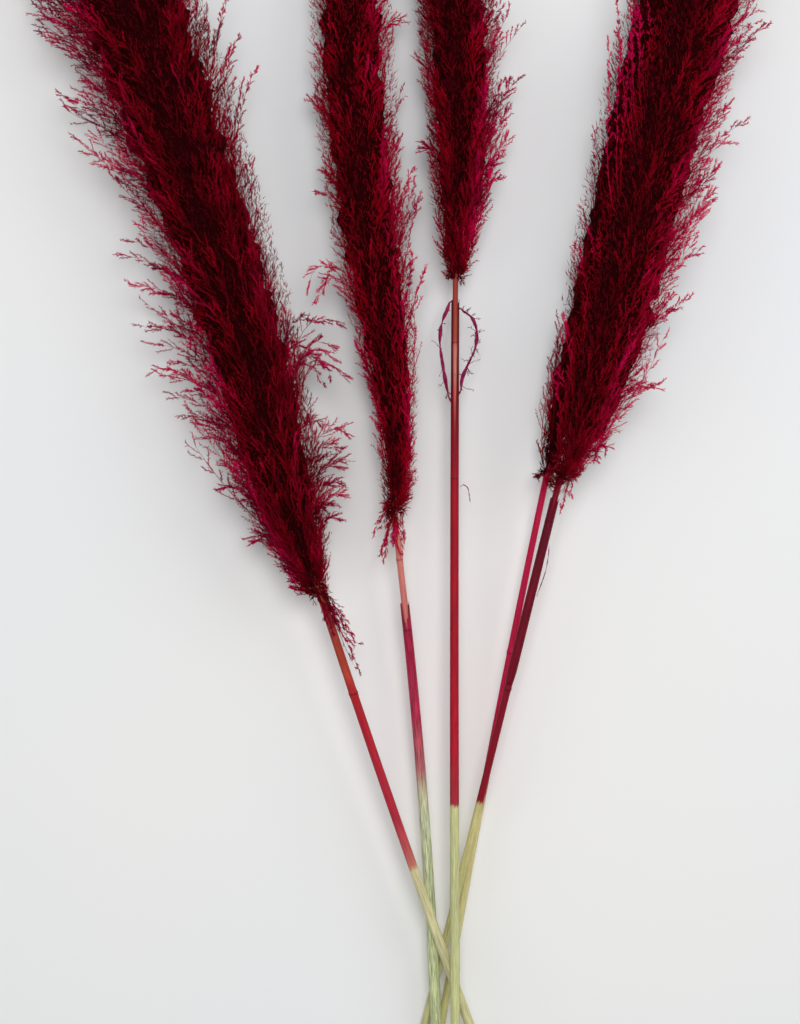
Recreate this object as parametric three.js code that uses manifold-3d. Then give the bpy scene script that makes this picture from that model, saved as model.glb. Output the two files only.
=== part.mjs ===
// A loose bundle of five cut and dyed pampas grass stems, lying on a flat surface.
//
// Frame: millimetres, +Z up, the surface at Z = 0. The cut ends point to -Y and the plumes
// fan out towards +Y. The origin is on the surface, at the middle of the bundle's box.
//
// Each stem is a solid culm that ends where its plume starts. Two culms are wrapped by a leaf
// sheath down to the cut, one by a short sheath under its plume, and a few dried strips have
// peeled off. Nothing ties the stems: each lies on the ones below it, near the cut ends.

import * as THREE from "three";
import { mergeVertices } from "three/addons/utils/BufferGeometryUtils.js";
import Module from "manifold-3d";

// ---------------------------------------------------------------- driving dimensions, mm
const GAP = 0.4; // left between pieces that touch
const SHEATH_WALL = 0.7; // thickness of a leaf sheath
const NODE_SWELL = 1.14; // how much wider a culm is at one of its nodes
const NODE_HALF_LENGTH = 3.5;
const PLUME_TIP_RADIUS = 1.5;

const CULM_SIDES = 12;
const PLUME_SIDES = 20;
const STRIP_SIDES = 6;
const CULM_STEP = 60; // longest stretch of culm between two rings
const PLUME_STEPS = 18;
const STRIP_STEP = 4; // length of strip between two sections

// Stems from the lowest to the topmost. cutEnd and plumeBase are places in plan, [x, y], measured
// from the foot of the centre stem. A culm's cut end rests as low as the stems under it allow.
// bow is how far the culm's middle stands off its straight line, to the right, and the radii are the
// bare culm's. Nodes, sheaths and strips are placed by their distance below the plume, along the
// culm. A sheath runs from its foot (the cut end, if it gives none) up to its mouth, with a slit
// down from the mouth. A plume's reach is its length along +Y. Its spine is places on its middle
// line: [share of its reach, distance to the right of its base, height over the surface]. Its
// outline is pairs of [share of its length, share of its half width], and flatness is its half
// height over its half width.
const STEMS = [
  {
    name: "right_rear",
    cutEnd: [-14, 6],
    plumeBase: [77, 488],
    plumeBaseHeight: 25,
    bow: -2.5,
    cutRadius: 3.2,
    topRadius: 2.7,
    nodesBelow: [150],
    colour: 0xb01c3c,
    plume: {
      reach: 582,
      halfWidth: 33,
      flatness: 0.7,
      spine: [[0.12, 17, 25], [0.27, 44, 24], [0.56, 82, 23], [0.7, 102, 22], [1, 146, 17]],
      outline: [[0, 0.15], [0.05, 0.33], [0.13, 0.6], [0.3, 0.9], [0.5, 1], [0.7, 0.97], [0.87, 0.67]],
    },
  },
  {
    name: "right_front",
    cutEnd: [-30, 4],
    plumeBase: [85, 480],
    plumeBaseHeight: 56,
    bow: 0,
    cutRadius: 3.3,
    topRadius: 2.6,
    nodesBelow: [175],
    sheath: { footBelow: 170, mouthBelow: 8, slitLength: 16, slitWidth: 2 },
    colour: 0x7a1226,
    plume: {
      reach: 636,
      halfWidth: 38,
      flatness: 0.72,
      spine: [[0.12, 26, 59], [0.25, 53, 61], [0.52, 95, 58], [0.65, 125, 54], [1, 189, 36]],
      outline: [[0, 0.16], [0.05, 0.47], [0.12, 0.74], [0.27, 0.95], [0.5, 1], [0.7, 0.97], [0.87, 0.66]],
    },
  },
  {
    name: "inner_left",
    cutEnd: [-15, -3],
    plumeBase: [-51, 450],
    plumeBaseHeight: 30,
    bow: 5,
    cutRadius: 3.7,
    topRadius: 2.6,
    nodesBelow: [31],
    sheath: { mouthBelow: 66, slitLength: 24, slitWidth: 4 },
    colour: 0xb9606a,
    plume: {
      reach: 612,
      halfWidth: 36,
      flatness: 0.82,
      spine: [[0.15, -1, 30], [0.31, -12, 30], [0.47, -31, 29], [0.65, -36, 28], [1, -50, 18]],
      outline: [[0, 0.14], [0.06, 0.4], [0.13, 0.45], [0.24, 0.7], [0.4, 0.9], [0.7, 1], [0.9, 0.6]],
    },
  },
  {
    name: "left",
    cutEnd: [21, 0],
    plumeBase: [-112, 384],
    plumeBaseHeight: 40,
    bow: -2,
    cutRadius: 4.1,
    topRadius: 3.5,
    nodesBelow: [82],
    colour: 0xb8403a,
    plume: {
      reach: 712,
      halfWidth: 62,
      flatness: 0.7,
      spine: [[0.12, -27, 40], [0.36, -70, 39], [0.6, -129, 36], [0.74, -162, 33], [1, -222, 25]],
      outline: [[0, 0.1], [0.04, 0.31], [0.12, 0.55], [0.24, 0.7], [0.66, 0.97], [0.8, 0.95], [0.92, 0.55]],
    },
  },
  {
    name: "centre",
    cutEnd: [0, -6],
    plumeBase: [0, 654],
    plumeBaseHeight: 31,
    bow: -1,
    cutRadius: 3.0,
    topRadius: 2.3,
    nodesBelow: [55],
    sheath: { mouthBelow: 12, slitLength: 138, slitWidth: 3.6 },
    colour: 0x9a2036,
    plume: {
      reach: 496,
      halfWidth: 36,
      flatness: 0.85,
      spine: [[0.13, 2, 31], [0.32, 3, 30], [0.49, -2, 28], [1, -24, 19]],
      outline: [[0, 0.14], [0.06, 0.42], [0.15, 0.7], [0.26, 0.84], [0.5, 1], [0.7, 0.97], [0.86, 0.64]],
    },
  },
];

// Dried strips that stand off a stem. Each point is [distance below the plume, distance off the
// stem's skin, height over the stem's middle], and side is -1 to the left of the stem, 1 to the right.
const STRIPS = [
  {
    name: "centre_curled_strip_left",
    stem: "centre",
    side: -1,
    radius: 1.2,
    points: [[96, 0, 0], [82, 3, 1], [65, 6, 2], [48, 8, 2], [32, 6, 2], [22, 2, 1], [16, 0, 0]],
  },
  {
    name: "centre_curled_strip_right",
    stem: "centre",
    side: 1,
    radius: 1.2,
    points: [[90, 0, 0], [80, 1, 1], [70, 5, 2], [54, 12, 2], [38, 13, 2], [27, 8, 1], [22, 0, 0]],
  },
  {
    name: "centre_fibre",
    stem: "centre",
    side: 1,
    radius: 0.5,
    points: [[172, 0, 0], [170, 3, 0.5], [173, 7, 0.5], [179, 8, 0], [187, 9, -0.5]],
  },
  {
    name: "right_front_fibre",
    stem: "right_front",
    side: 1,
    radius: 0.5,
    points: [[93, 0, 0], [82, 1.4, 0.4], [70, 2.4, 0.6], [57, 1.6, 0.4], [47, 0, 0]],
  },
];

// ---------------------------------------------------------------- tools
const UP = new THREE.Vector3(0, 0, 1);
const wasm = await Module();
wasm.setup();

/** The bare culm's radius at a distance along it from the cut end. */
function culmRadius(stem, along) {
  return THREE.MathUtils.lerp(stem.cutRadius, stem.topRadius, along / stem.length);
}

/** Where a stem's sheath starts and ends, as distances along the culm. */
function sheathSpan(stem) {
  const { footBelow, mouthBelow } = stem.sheath;
  return { foot: footBelow ? stem.length - footBelow : 0, mouth: stem.length - mouthBelow };
}

/** A stem's outermost radius at a distance along the culm: the bare culm's, or its sheath's. */
function skinRadius(stem, along) {
  const bare = culmRadius(stem, along);
  if (!stem.sheath) return bare;
  const { foot, mouth } = sheathSpan(stem);
  return along >= foot && along <= mouth ? bare + GAP + SHEATH_WALL : bare;
}

/** The middle of a curve at a share of its length, with the directions across, ahead and above. */
function placeOn(curve, share) {
  const at = THREE.MathUtils.clamp(share, 0, 1);
  const middle = curve.getPointAt(at);
  const ahead = curve.getTangentAt(at);
  const across = new THREE.Vector3().crossVectors(ahead, UP).normalize();
  const above = new THREE.Vector3().crossVectors(across, ahead);
  return { middle, ahead, across, above };
}

/** Bends a shape turned about the Y axis so that its axis follows the curve, flattened by flatness. */
function bentAlong(curve, straight, flatness = 1) {
  const length = curve.getLength();
  const position = straight.getAttribute("position");
  const point = new THREE.Vector3();
  for (let i = 0; i < position.count; i += 1) {
    const along = position.getY(i);
    const { middle, across, above } = placeOn(curve, along / length);
    point.copy(middle);
    point.addScaledVector(across, position.getX(i));
    point.addScaledVector(above, position.getZ(i) * flatness);
    point.z = Math.max(point.z, 0); // what lies on the surface is pressed flat
    position.setXYZ(i, point.x, point.y, point.z);
  }
  straight.deleteAttribute("normal");
  straight.deleteAttribute("uv");
  return mergeVertices(straight, 1e-3);
}

/** A geometry as a manifold-3d solid, and a solid as a geometry. */
function solidOf(geometry) {
  return new wasm.Manifold(
    new wasm.Mesh({
      numProp: 3,
      vertProperties: new Float32Array(geometry.getAttribute("position").array),
      triVerts: new Uint32Array(geometry.index.array),
    }),
  );
}

function geometryOf(solid) {
  const mesh = solid.getMesh();
  const geometry = new THREE.BufferGeometry();
  geometry.setAttribute("position", new THREE.BufferAttribute(mesh.vertProperties, 3));
  geometry.setIndex(new THREE.BufferAttribute(mesh.triVerts, 1));
  return geometry;
}

// ---------------------------------------------------------------- where each stem lies

/** A culm's middle line, from its cut end at that height to the base of its plume. */
function culmCurve(stem, cutHeight) {
  const start = new THREE.Vector3(...stem.cutEnd, cutHeight);
  const end = new THREE.Vector3(...stem.plumeBase, stem.plumeBaseHeight);
  const control = start.clone().lerp(end, 0.5);
  control.x += 2 * stem.bow;
  return new THREE.QuadraticBezierCurve3(start, control, end);
}

/** How high a stem's cut end has to be for its culm to clear the floor and the stems under it. */
function cutHeightOver(stem, lowerStems) {
  const samples = 160;
  const flat = culmCurve(stem, 0);
  let height = skinRadius(stem, 0);
  for (let i = 0; i < samples; i += 1) {
    const share = i / samples;
    const here = flat.getPoint(share);
    for (const lower of lowerStems) {
      for (let j = 0; j <= samples; j += 1) {
        const there = lower.curve.getPoint(j / samples);
        const sideways = Math.hypot(here.x - there.x, here.y - there.y);
        const reach =
          skinRadius(stem, share * stem.length) +
          skinRadius(lower, (j / samples) * lower.length) +
          GAP;
        if (sideways < reach) {
          const needed = there.z + Math.sqrt(reach ** 2 - sideways ** 2);
          height = Math.max(height, (needed - share * stem.plumeBaseHeight) / (1 - share));
        }
      }
    }
  }
  return height;
}

/** A plume's middle line: it starts just past the end of its culm and follows its spine. */
function plumeCurve(stem) {
  const { middle, ahead } = placeOn(stem.curve, 1);
  const start = middle.clone().addScaledVector(ahead, GAP);
  const [baseX, baseY] = stem.plumeBase;
  const { spine, reach } = stem.plume;
  const places = spine.map(
    ([share, sideways, height]) => new THREE.Vector3(baseX + sideways, baseY + share * reach, height),
  );
  return new THREE.CatmullRomCurve3([start, ...places]);
}

STEMS.forEach((stem, order) => {
  stem.length = culmCurve(stem, 0).getLength();
  stem.curve = culmCurve(stem, cutHeightOver(stem, STEMS.slice(0, order)));
  stem.length = stem.curve.getLength();
  stem.plumeCurve = plumeCurve(stem);
});

// ---------------------------------------------------------------- the pieces

/** A solid culm, a little wider at each node, cut square at both ends. */
function culmGeometry(stem) {
  const nodes = stem.nodesBelow.map((below) => stem.length - below);
  const steps = Math.ceil(stem.length / CULM_STEP);
  const places = Array.from({ length: steps + 1 }, (_, i) => (i / steps) * stem.length);
  const clearOfNodes = places.filter((along) =>
    nodes.every((node) => Math.abs(node - along) > 2 * NODE_HALF_LENGTH),
  );
  const rings = clearOfNodes.map((along) => [culmRadius(stem, along), along]);
  for (const node of nodes) {
    const covered = skinRadius(stem, node) > culmRadius(stem, node);
    const swell = covered ? 1 : NODE_SWELL;
    rings.push([culmRadius(stem, node), node - NODE_HALF_LENGTH]);
    rings.push([culmRadius(stem, node) * swell, node]);
    rings.push([culmRadius(stem, node), node + NODE_HALF_LENGTH]);
  }
  rings.sort((a, b) => a[1] - b[1]);
  const profile = [[0, 0], ...rings, [0, stem.length]].map((ring) => new THREE.Vector2(...ring));
  return bentAlong(stem.curve, new THREE.LatheGeometry(profile, CULM_SIDES));
}

/** A leaf sheath: a thin tube round the culm, with a V slit on top that runs out of its mouth. */
function sheathGeometry(stem) {
  const { foot, mouth } = sheathSpan(stem);
  const { slitLength, slitWidth } = stem.sheath;
  const inner = (along) => culmRadius(stem, along) + GAP;
  const outer = (along) => inner(along) + SHEATH_WALL;
  const steps = Math.ceil((mouth - foot) / CULM_STEP);
  const places = Array.from({ length: steps + 1 }, (_, i) => foot + ((mouth - foot) * i) / steps);
  const profile = [
    ...places.map((along) => new THREE.Vector2(outer(along), along)),
    ...places.reverse().map((along) => new THREE.Vector2(inner(along), along)),
  ];
  profile.push(profile[0].clone());
  const tube = solidOf(bentAlong(stem.curve, new THREE.LatheGeometry(profile, CULM_SIDES)));

  const wedgeShape = new THREE.Shape([
    new THREE.Vector2(-slitWidth / 2, mouth + GAP),
    new THREE.Vector2(0, mouth - slitLength),
    new THREE.Vector2(slitWidth / 2, mouth + GAP),
  ]);
  const wedge = new THREE.ExtrudeGeometry(wedgeShape, { depth: 2 * outer(foot), bevelEnabled: false });
  return geometryOf(tube.subtract(solidOf(bentAlong(stem.curve, wedge))));
}

/** A plume's outer shape, with its half width grown by a margin for pressing its neighbour. */
function plumeGeometry(stem, margin = 0) {
  const { outline, halfWidth, flatness } = stem.plume;
  const length = stem.plumeCurve.getLength();
  const sketch = new THREE.SplineCurve([
    ...outline.map(([share, width]) => new THREE.Vector2(share * length, width * halfWidth)),
    new THREE.Vector2(length, PLUME_TIP_RADIUS),
  ]);
  const rings = sketch.getPoints(PLUME_STEPS).map((ring) => new THREE.Vector2(ring.y + margin, ring.x));
  const profile = [new THREE.Vector2(0, 0), ...rings, new THREE.Vector2(0, length)];
  return bentAlong(stem.plumeCurve, new THREE.LatheGeometry(profile, PLUME_SIDES), flatness);
}

/** A plume that lies on others: it is pressed out of the way of each plume under it. */
function pressedPlumeGeometry(stem, lowerStems) {
  const pressed = lowerStems.reduce(
    (plume, lower) => plume.subtract(solidOf(plumeGeometry(lower, GAP))),
    solidOf(plumeGeometry(stem)),
  );
  return geometryOf(pressed);
}

/** A dried strip: a thin rod along a smooth line beside its stem. */
function stripGeometry(strip) {
  const stem = STEMS.find((one) => one.name === strip.stem);
  const points = strip.points.map(([below, sideways, height]) => {
    const along = stem.length - below;
    const { middle, across, above } = placeOn(stem.curve, along / stem.length);
    const offset = skinRadius(stem, along) + GAP + strip.radius + sideways;
    return middle
      .clone()
      .addScaledVector(across, strip.side * offset)
      .addScaledVector(above, height);
  });
  const route = new THREE.CatmullRomCurve3(points);
  const corners = Array.from({ length: STRIP_SIDES }, (_, i) => {
    const turn = (2 * Math.PI * i) / STRIP_SIDES;
    return new THREE.Vector2(strip.radius * Math.cos(turn), strip.radius * Math.sin(turn));
  });
  const steps = Math.ceil(route.getLength() / STRIP_STEP);
  const section = new THREE.Shape(corners);
  return new THREE.ExtrudeGeometry(section, { steps, extrudePath: route, bevelEnabled: false });
}

// ---------------------------------------------------------------- the bundle
const PLUME_COLOUR = 0x6e0a1c;
const STRIP_COLOUR = 0x5a0f2a;

const bundle = new THREE.Group();

function addPiece(name, geometry, color, roughness) {
  const material = new THREE.MeshStandardMaterial({ color, roughness, metalness: 0 });
  const mesh = new THREE.Mesh(geometry, material);
  mesh.name = name;
  bundle.add(mesh);
}

STEMS.forEach((stem, order) => {
  addPiece(`${stem.name}_stem`, culmGeometry(stem), stem.colour, 0.55);
  if (stem.sheath) addPiece(`${stem.name}_sheath`, sheathGeometry(stem), stem.colour, 0.6);
  const plume = pressedPlumeGeometry(stem, STEMS.slice(0, order));
  addPiece(`${stem.name}_plume`, plume, PLUME_COLOUR, 0.95);
});
for (const strip of STRIPS) addPiece(strip.name, stripGeometry(strip), STRIP_COLOUR, 0.8);

// The origin goes to the middle of the bundle's box, on the surface it lies on.
const box = new THREE.Box3().setFromObject(bundle);
const middle = box.getCenter(new THREE.Vector3());
bundle.position.set(-middle.x, -middle.y, -box.min.z);

export default bundle;
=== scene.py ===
"""A loose bundle of five dyed pampas grass stems, lying on a pale surface.

Everything is in metres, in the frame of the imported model: +Z up off the surface, the cut ends
towards -Y and the plumes towards +Y. Each plume is grown inside the outline of its solid: a rachis,
primary branches that rise off it, twigs on each branch and florets on each twig. Each culm, sheath
and dried strip is a fine surface carried along the middle line of its solid.
"""

from __future__ import annotations

import logging
import math
from dataclasses import dataclass
from enum import Enum

import bpy
import numpy as np
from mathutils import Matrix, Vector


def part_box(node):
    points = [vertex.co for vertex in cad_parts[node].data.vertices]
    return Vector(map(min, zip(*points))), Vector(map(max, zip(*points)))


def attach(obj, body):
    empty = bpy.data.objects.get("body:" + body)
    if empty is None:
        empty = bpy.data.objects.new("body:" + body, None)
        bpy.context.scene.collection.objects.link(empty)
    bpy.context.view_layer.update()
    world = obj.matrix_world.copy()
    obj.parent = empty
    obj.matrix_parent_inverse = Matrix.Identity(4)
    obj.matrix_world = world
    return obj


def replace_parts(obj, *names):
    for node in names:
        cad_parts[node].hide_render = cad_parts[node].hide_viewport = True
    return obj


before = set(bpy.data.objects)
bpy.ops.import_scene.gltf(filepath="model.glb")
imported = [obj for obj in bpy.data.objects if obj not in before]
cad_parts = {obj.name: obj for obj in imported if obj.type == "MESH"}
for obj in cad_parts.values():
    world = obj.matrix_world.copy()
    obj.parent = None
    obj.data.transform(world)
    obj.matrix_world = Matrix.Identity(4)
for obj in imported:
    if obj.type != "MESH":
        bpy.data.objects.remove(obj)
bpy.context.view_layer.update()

LOG = logging.getLogger("pampas")
MM = 0.001
BODY = "root"
COLOUR_MAP = "OFBake"
MOST_TRIANGLES = 190_000  # in one piece of florets
FRINGE_DEPTH = 0.72  # florets further out than this on the colour map are seen one by one
BRANCH_REACH = 85 * MM  # no branch's tip stands further from its rachis, seen from above
HEART_WIDE = 0.64  # how much of a plume's half width is close down
HEART_HIGH = 0.52  # and of its half height
MAP_FOOT = 0.006  # the height on a stem's colour map where its cut face ends
LEAST_HEIGHT = 0.5 * MM  # florets and the middles of branches are kept this far off the surface
CLEARANCE = 0.05 * MM  # and every point this far
QUAD_SPOT = np.array([[0, 0], [1, 0], [1, 1], [0, 1]])  # corners of a small face on the colour map
TRIANGLE_SPOT = np.array([[0, 0], [1, 0], [0.5, 1]])
TURN = 2 * np.pi
UP = np.array([0.0, 0.0, 1.0])
Colour = tuple[float, float, float]
Stops = tuple[tuple[float, int, int, int], ...]  # a distance from the cut end, and a colour


class Axis(Enum):
    """A direction of the frame, by its column in an array of points."""

    X = 0
    Y = 1
    Z = 2


class Slot(Enum):
    """The record's material slots."""

    FLUFF = "plume_fluff"
    CULM = "dyed_culm"
    SHEATH = "leaf_sheath"
    STRIP = "dried_strip"


# ------------------------------------------------------------------ directions


def unit(vectors: np.ndarray) -> np.ndarray:
    """The same directions at a length of one: v / |v|, along the last axis."""
    return vectors / np.maximum(np.linalg.norm(vectors, axis=-1, keepdims=True), 1e-12)


def square_to(directions: np.ndarray) -> tuple[np.ndarray, np.ndarray]:
    """Finds two directions square to each given one and to each other.

    Args:
        directions: Unit vectors d.

    Returns:
        e and f, with e = d x helper and f = d x e, so that e, f and d are right-handed.
    """
    steep = np.abs(directions[..., 2:]) > 0.9
    helper = np.where(steep, np.array([1.0, 0.0, 0.0]), UP)
    first = unit(np.cross(directions, helper))
    return first, np.cross(directions, first)


def leaning(directions: np.ndarray, angle: np.ndarray, azimuth: np.ndarray) -> np.ndarray:
    """Leans each direction by an angle, towards an azimuth round it.

    Args:
        directions: Unit vectors d.
        angle: How far each leans, in radians.
        azimuth: Which way round d it leans, in radians.

    Returns:
        cos(angle) d + sin(angle) (cos(azimuth) e + sin(azimuth) f), e and f square to d.
    """
    first, second = square_to(directions)
    angle, azimuth = angle[..., None], azimuth[..., None]
    sideways = np.cos(azimuth) * first + np.sin(azimuth) * second
    return np.cos(angle) * directions + np.sin(angle) * sideways


def turns(around: int) -> np.ndarray:
    """Even turns round a circle: 2 pi k / around."""
    return TURN * np.arange(around) / around


def ring_round(first: np.ndarray, second: np.ndarray, around: int) -> np.ndarray:
    """Steps of one unit, evenly round an axis.

    Args:
        first: Directions e square to the axis, (..., 3).
        second: Directions f square to both.
        around: How many steps.

    Returns:
        cos(t) e + sin(t) f at each turn t, (..., around, 3).
    """
    turn = turns(around)[:, None]
    return np.cos(turn) * first[..., None, :] + np.sin(turn) * second[..., None, :]


# ------------------------------------------------------------------ shapes


@dataclass
class Shape:
    """Points and faces, with the place of each face corner on the colour map."""

    points: np.ndarray  # (n, 3)
    quads: np.ndarray  # (m, 4)
    triangles: np.ndarray  # (k, 3)
    quad_places: np.ndarray  # (m, 4, 2)
    triangle_places: np.ndarray  # (k, 3, 2)

    @staticmethod
    def joined(shapes: list[Shape]) -> Shape:
        """Puts several shapes into one.

        Args:
            shapes: The shapes, which keep their own points.

        Returns:
            One shape with all their faces.
        """
        starts = np.cumsum([0] + [len(shape.points) for shape in shapes[:-1]])
        return Shape(
            np.concatenate([shape.points for shape in shapes]),
            np.concatenate([shape.quads + start for shape, start in zip(shapes, starts)]),
            np.concatenate([shape.triangles + start for shape, start in zip(shapes, starts)]),
            np.concatenate([shape.quad_places for shape in shapes]),
            np.concatenate([shape.triangle_places for shape in shapes]),
        )

    def triangle_count(self) -> int:
        """The number of triangles once each quad is split."""
        return 2 * len(self.quads) + len(self.triangles)


def strands(paths: np.ndarray, radii: np.ndarray, places: np.ndarray) -> Shape:
    """Thin closed three-sided tubes, each drawn out to a point.

    A tube's walls stand at path + radius ring, with the ring as ring_round has it. The first
    section is closed and the last one is a single point.

    Args:
        paths: The middle lines, (n, stations, 3).
        radii: The radius at each station, (n, stations).
        places: Each tube's place on the colour map, (n, 2).

    Returns:
        The tubes as one shape.
    """
    sides = 3
    count, stations = radii.shape
    ring = ring_round(*square_to(unit(np.gradient(paths, axis=1))), sides)
    walls = (paths[:, :, None] + ring * radii[:, :, None, None])[:, :-1].reshape(count, -1, 3)
    points = np.concatenate([walls, paths[:, -1:]], axis=1)
    side = np.arange(sides)
    following = (side + 1) % sides
    level = sides * np.arange(stations - 2)[:, None]
    corners = (level + side, level + following, level + sides + following, level + sides + side)
    quads = np.stack(corners, axis=-1).reshape(-1, 4)
    top, tip = sides * (stations - 2), np.full(sides, sides * (stations - 1))
    point = np.stack([top + side, top + following, tip], axis=-1)
    triangles = np.concatenate([point, np.array([[2, 1, 0]])])
    start = (points.shape[1] * np.arange(count))[:, None, None]
    return Shape(
        points.reshape(-1, 3),
        (quads + start).reshape(-1, 4),
        (triangles + start).reshape(-1, 3),
        spots_at(places, QUAD_SPOT, len(quads)),
        spots_at(places, TRIANGLE_SPOT, len(triangles)),
    )


def spots_at(places: np.ndarray, corners: np.ndarray, faces: int) -> np.ndarray:
    """Small spots on the colour map, so that no face there is without width.

    Args:
        places: Where each spot is, (n, 2).
        corners: The spot's corners, as steps of one.
        faces: How many faces share each place.

    Returns:
        place + 0.006 corner for each face, (n * faces, corners, 2).
    """
    spots = (places[:, None] + 0.006 * corners).clip(0, 1)
    return np.repeat(spots, faces, axis=0)


def spikes(
    bases: np.ndarray,
    directions: np.ndarray,
    lengths: np.ndarray,
    widths: np.ndarray,
    places: np.ndarray,
    waisted: bool,
) -> Shape:
    """Closed three-sided spikes, the shape of a dry floret.

    A spike's three corners stand half its width off its axis. With a waist they are a third of the
    way along and both ends are points, and without one they are its base.

    Args:
        bases: Where each starts, (n, 3).
        directions: Which way each points, as unit vectors.
        lengths: How long each is, (n,).
        widths: How wide each is across its corners, (n,).
        places: Each spike's place on the colour map, (n, 2).
        waisted: Whether they have a waist, as those that are seen one by one need.

    Returns:
        The spikes as one shape, six faces each with a waist and four without.
    """
    waist_share, tip_step = 0.34, 0.012
    ring = ring_round(*square_to(directions), 3) * (widths / 2)[:, None, None]
    ahead = directions * lengths[:, None]
    tips = (bases + ahead)[:, None]
    if waisted:
        waist = (bases + waist_share * ahead)[:, None] + ring
        points = np.concatenate([bases[:, None], waist, tips], axis=1)
        pattern = np.array([[2, 1, 0], [3, 2, 0], [1, 3, 0], [1, 2, 4], [2, 3, 4], [3, 1, 4]])
        steps = np.array([[0, 0], [0, 0.5], [0.7, 0.5], [-0.7, 0.5], [0, 1]]) * tip_step
        spots = (places[:, None, None] + steps[pattern]).reshape(-1, 3, 2).clip(0, 1)
    else:
        points = np.concatenate([bases[:, None] + ring, tips], axis=1)
        pattern = np.array([[2, 1, 0], [0, 1, 3], [1, 2, 3], [2, 0, 3]])
        spots = spots_at(places, TRIANGLE_SPOT, len(pattern))
    starts = (points.shape[1] * np.arange(len(bases)))[:, None, None]
    faces = (pattern + starts).reshape(-1, 3)
    return Shape(points.reshape(-1, 3), np.zeros((0, 4), int), faces, np.zeros((0, 4, 2)), spots)


def grid_faces(
    stations: int, around: int, closed: bool, along: np.ndarray
) -> tuple[np.ndarray, np.ndarray]:
    """The quads of a grid of rings, and their places on the colour map.

    Ring i's point j is point i * around + j. Across the map is j / around, and up it is the
    ring's height.

    Args:
        stations: How many rings.
        around: How many points in each, the last beside the first.
        closed: Whether the last ring meets the first.
        along: Each ring's height on the map, (stations,), or each point's, (stations, around).

    Returns:
        The quads, (n, 4), and their places, (n, 4, 2).
    """
    ring = np.arange(stations if closed else stations - 1)[:, None]
    side = np.arange(around)[None]
    next_ring, next_side = (ring + 1) % stations, (side + 1) % around
    corners = ((ring, side), (next_ring, side), (next_ring, next_side), (ring, next_side))
    quads = np.stack([row * around + column for row, column in corners], axis=-1)
    left, right = side / around + 0 * ring, (side + 1) / around + 0 * ring
    heights = along if along.ndim == 2 else along[:, None] + np.zeros(around)
    places = [
        np.stack([across, heights[row, column]], -1)
        for across, (row, column) in zip((left, left, right, right), corners)
    ]
    return quads.reshape(-1, 4), np.stack(places, axis=2).reshape(-1, 4, 2)


def skin(rings: np.ndarray, along: np.ndarray) -> Shape:
    """A closed surface through rings of points, with both ends drawn together at a point.

    Args:
        rings: The rings in order, (stations, around, 3), each from the path's right over its top.
        along: Each ring's height on the colour map, (stations,), from 0 to 1.

    Returns:
        The surface. The end points are the middles of the first and last rings.
    """
    stations, around = rings.shape[:2]
    points = np.concatenate([rings.reshape(-1, 3), [rings[0].mean(0), rings[-1].mean(0)]])
    quads, quad_places = grid_faces(stations, around, False, along)
    side, following = np.arange(around), (np.arange(around) + 1) % around
    start, end = stations * around, stations * around + 1
    last = around * (stations - 1)
    triangles = np.concatenate(
        [
            np.stack([side, following, np.full(around, start)], -1),
            np.stack([last + following, last + side, np.full(around, end)], -1),
        ]
    )
    left, right, step = side / around, (side + 1) / around, 0.002
    caps = []
    for height, first, second, inwards in (
        (along[0], left, right, -step),
        (along[-1], right, left, step),
    ):
        level = np.full(around, height)
        corners = [(first, level), (second, level), ((left + right) / 2, level + inwards)]
        caps.append(np.stack([np.stack(corner, -1) for corner in corners], axis=1).clip(0, 1))
    return Shape(points, quads, triangles, quad_places, np.concatenate(caps))


def frames_along(path: np.ndarray) -> tuple[np.ndarray, np.ndarray]:
    """Directions to the right of a path and over it, at each of its points.

    Args:
        path: The path, (stations, 3), nowhere straight up.

    Returns:
        right = ahead x up, and over = right x ahead, as unit vectors.
    """
    ahead = unit(np.gradient(path, axis=0))
    right = unit(np.cross(ahead, UP))
    return right, np.cross(right, ahead)


def make_piece(
    name: str, shape: Shape, material: bpy.types.Material
) -> bpy.types.Object:
    """Makes an object of a shape, in its finish, riding on the bundle's one body.

    Args:
        name: The piece's name.
        shape: Its points and faces, in the frame.
        material: Its finish.

    Returns:
        The object, at the origin.
    """
    shape.points[:, 2] = np.maximum(shape.points[:, 2], CLEARANCE)
    mesh = bpy.data.meshes.new(name)
    mesh.vertices.add(len(shape.points))
    mesh.vertices.foreach_set("co", shape.points.astype(np.float32).ravel())
    corners = np.concatenate([shape.quads.ravel(), shape.triangles.ravel()]).astype(np.int32)
    mesh.loops.add(len(corners))
    mesh.loops.foreach_set("vertex_index", corners)
    sizes = np.concatenate([np.full(len(shape.quads), 4), np.full(len(shape.triangles), 3)])
    starts = np.concatenate([[0], np.cumsum(sizes)[:-1]]).astype(np.int32)
    mesh.polygons.add(len(sizes))
    mesh.polygons.foreach_set("loop_start", starts)
    mesh.polygons.foreach_set("use_smooth", np.ones(len(sizes), bool))
    places = [shape.quad_places.reshape(-1, 2), shape.triangle_places.reshape(-1, 2)]
    colour_map = mesh.uv_layers.new(name=COLOUR_MAP)
    colour_map.data.foreach_set("uv", np.concatenate(places).astype(np.float32).ravel())
    mesh.update(calc_edges=True)
    mesh.materials.append(material)
    piece = bpy.data.objects.new(name, mesh)
    bpy.context.scene.collection.objects.link(piece)
    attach(piece, BODY)
    LOG.info("%s: %d triangles", name, shape.triangle_count())
    return piece


# ------------------------------------------------------------------ reading the solids


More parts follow.
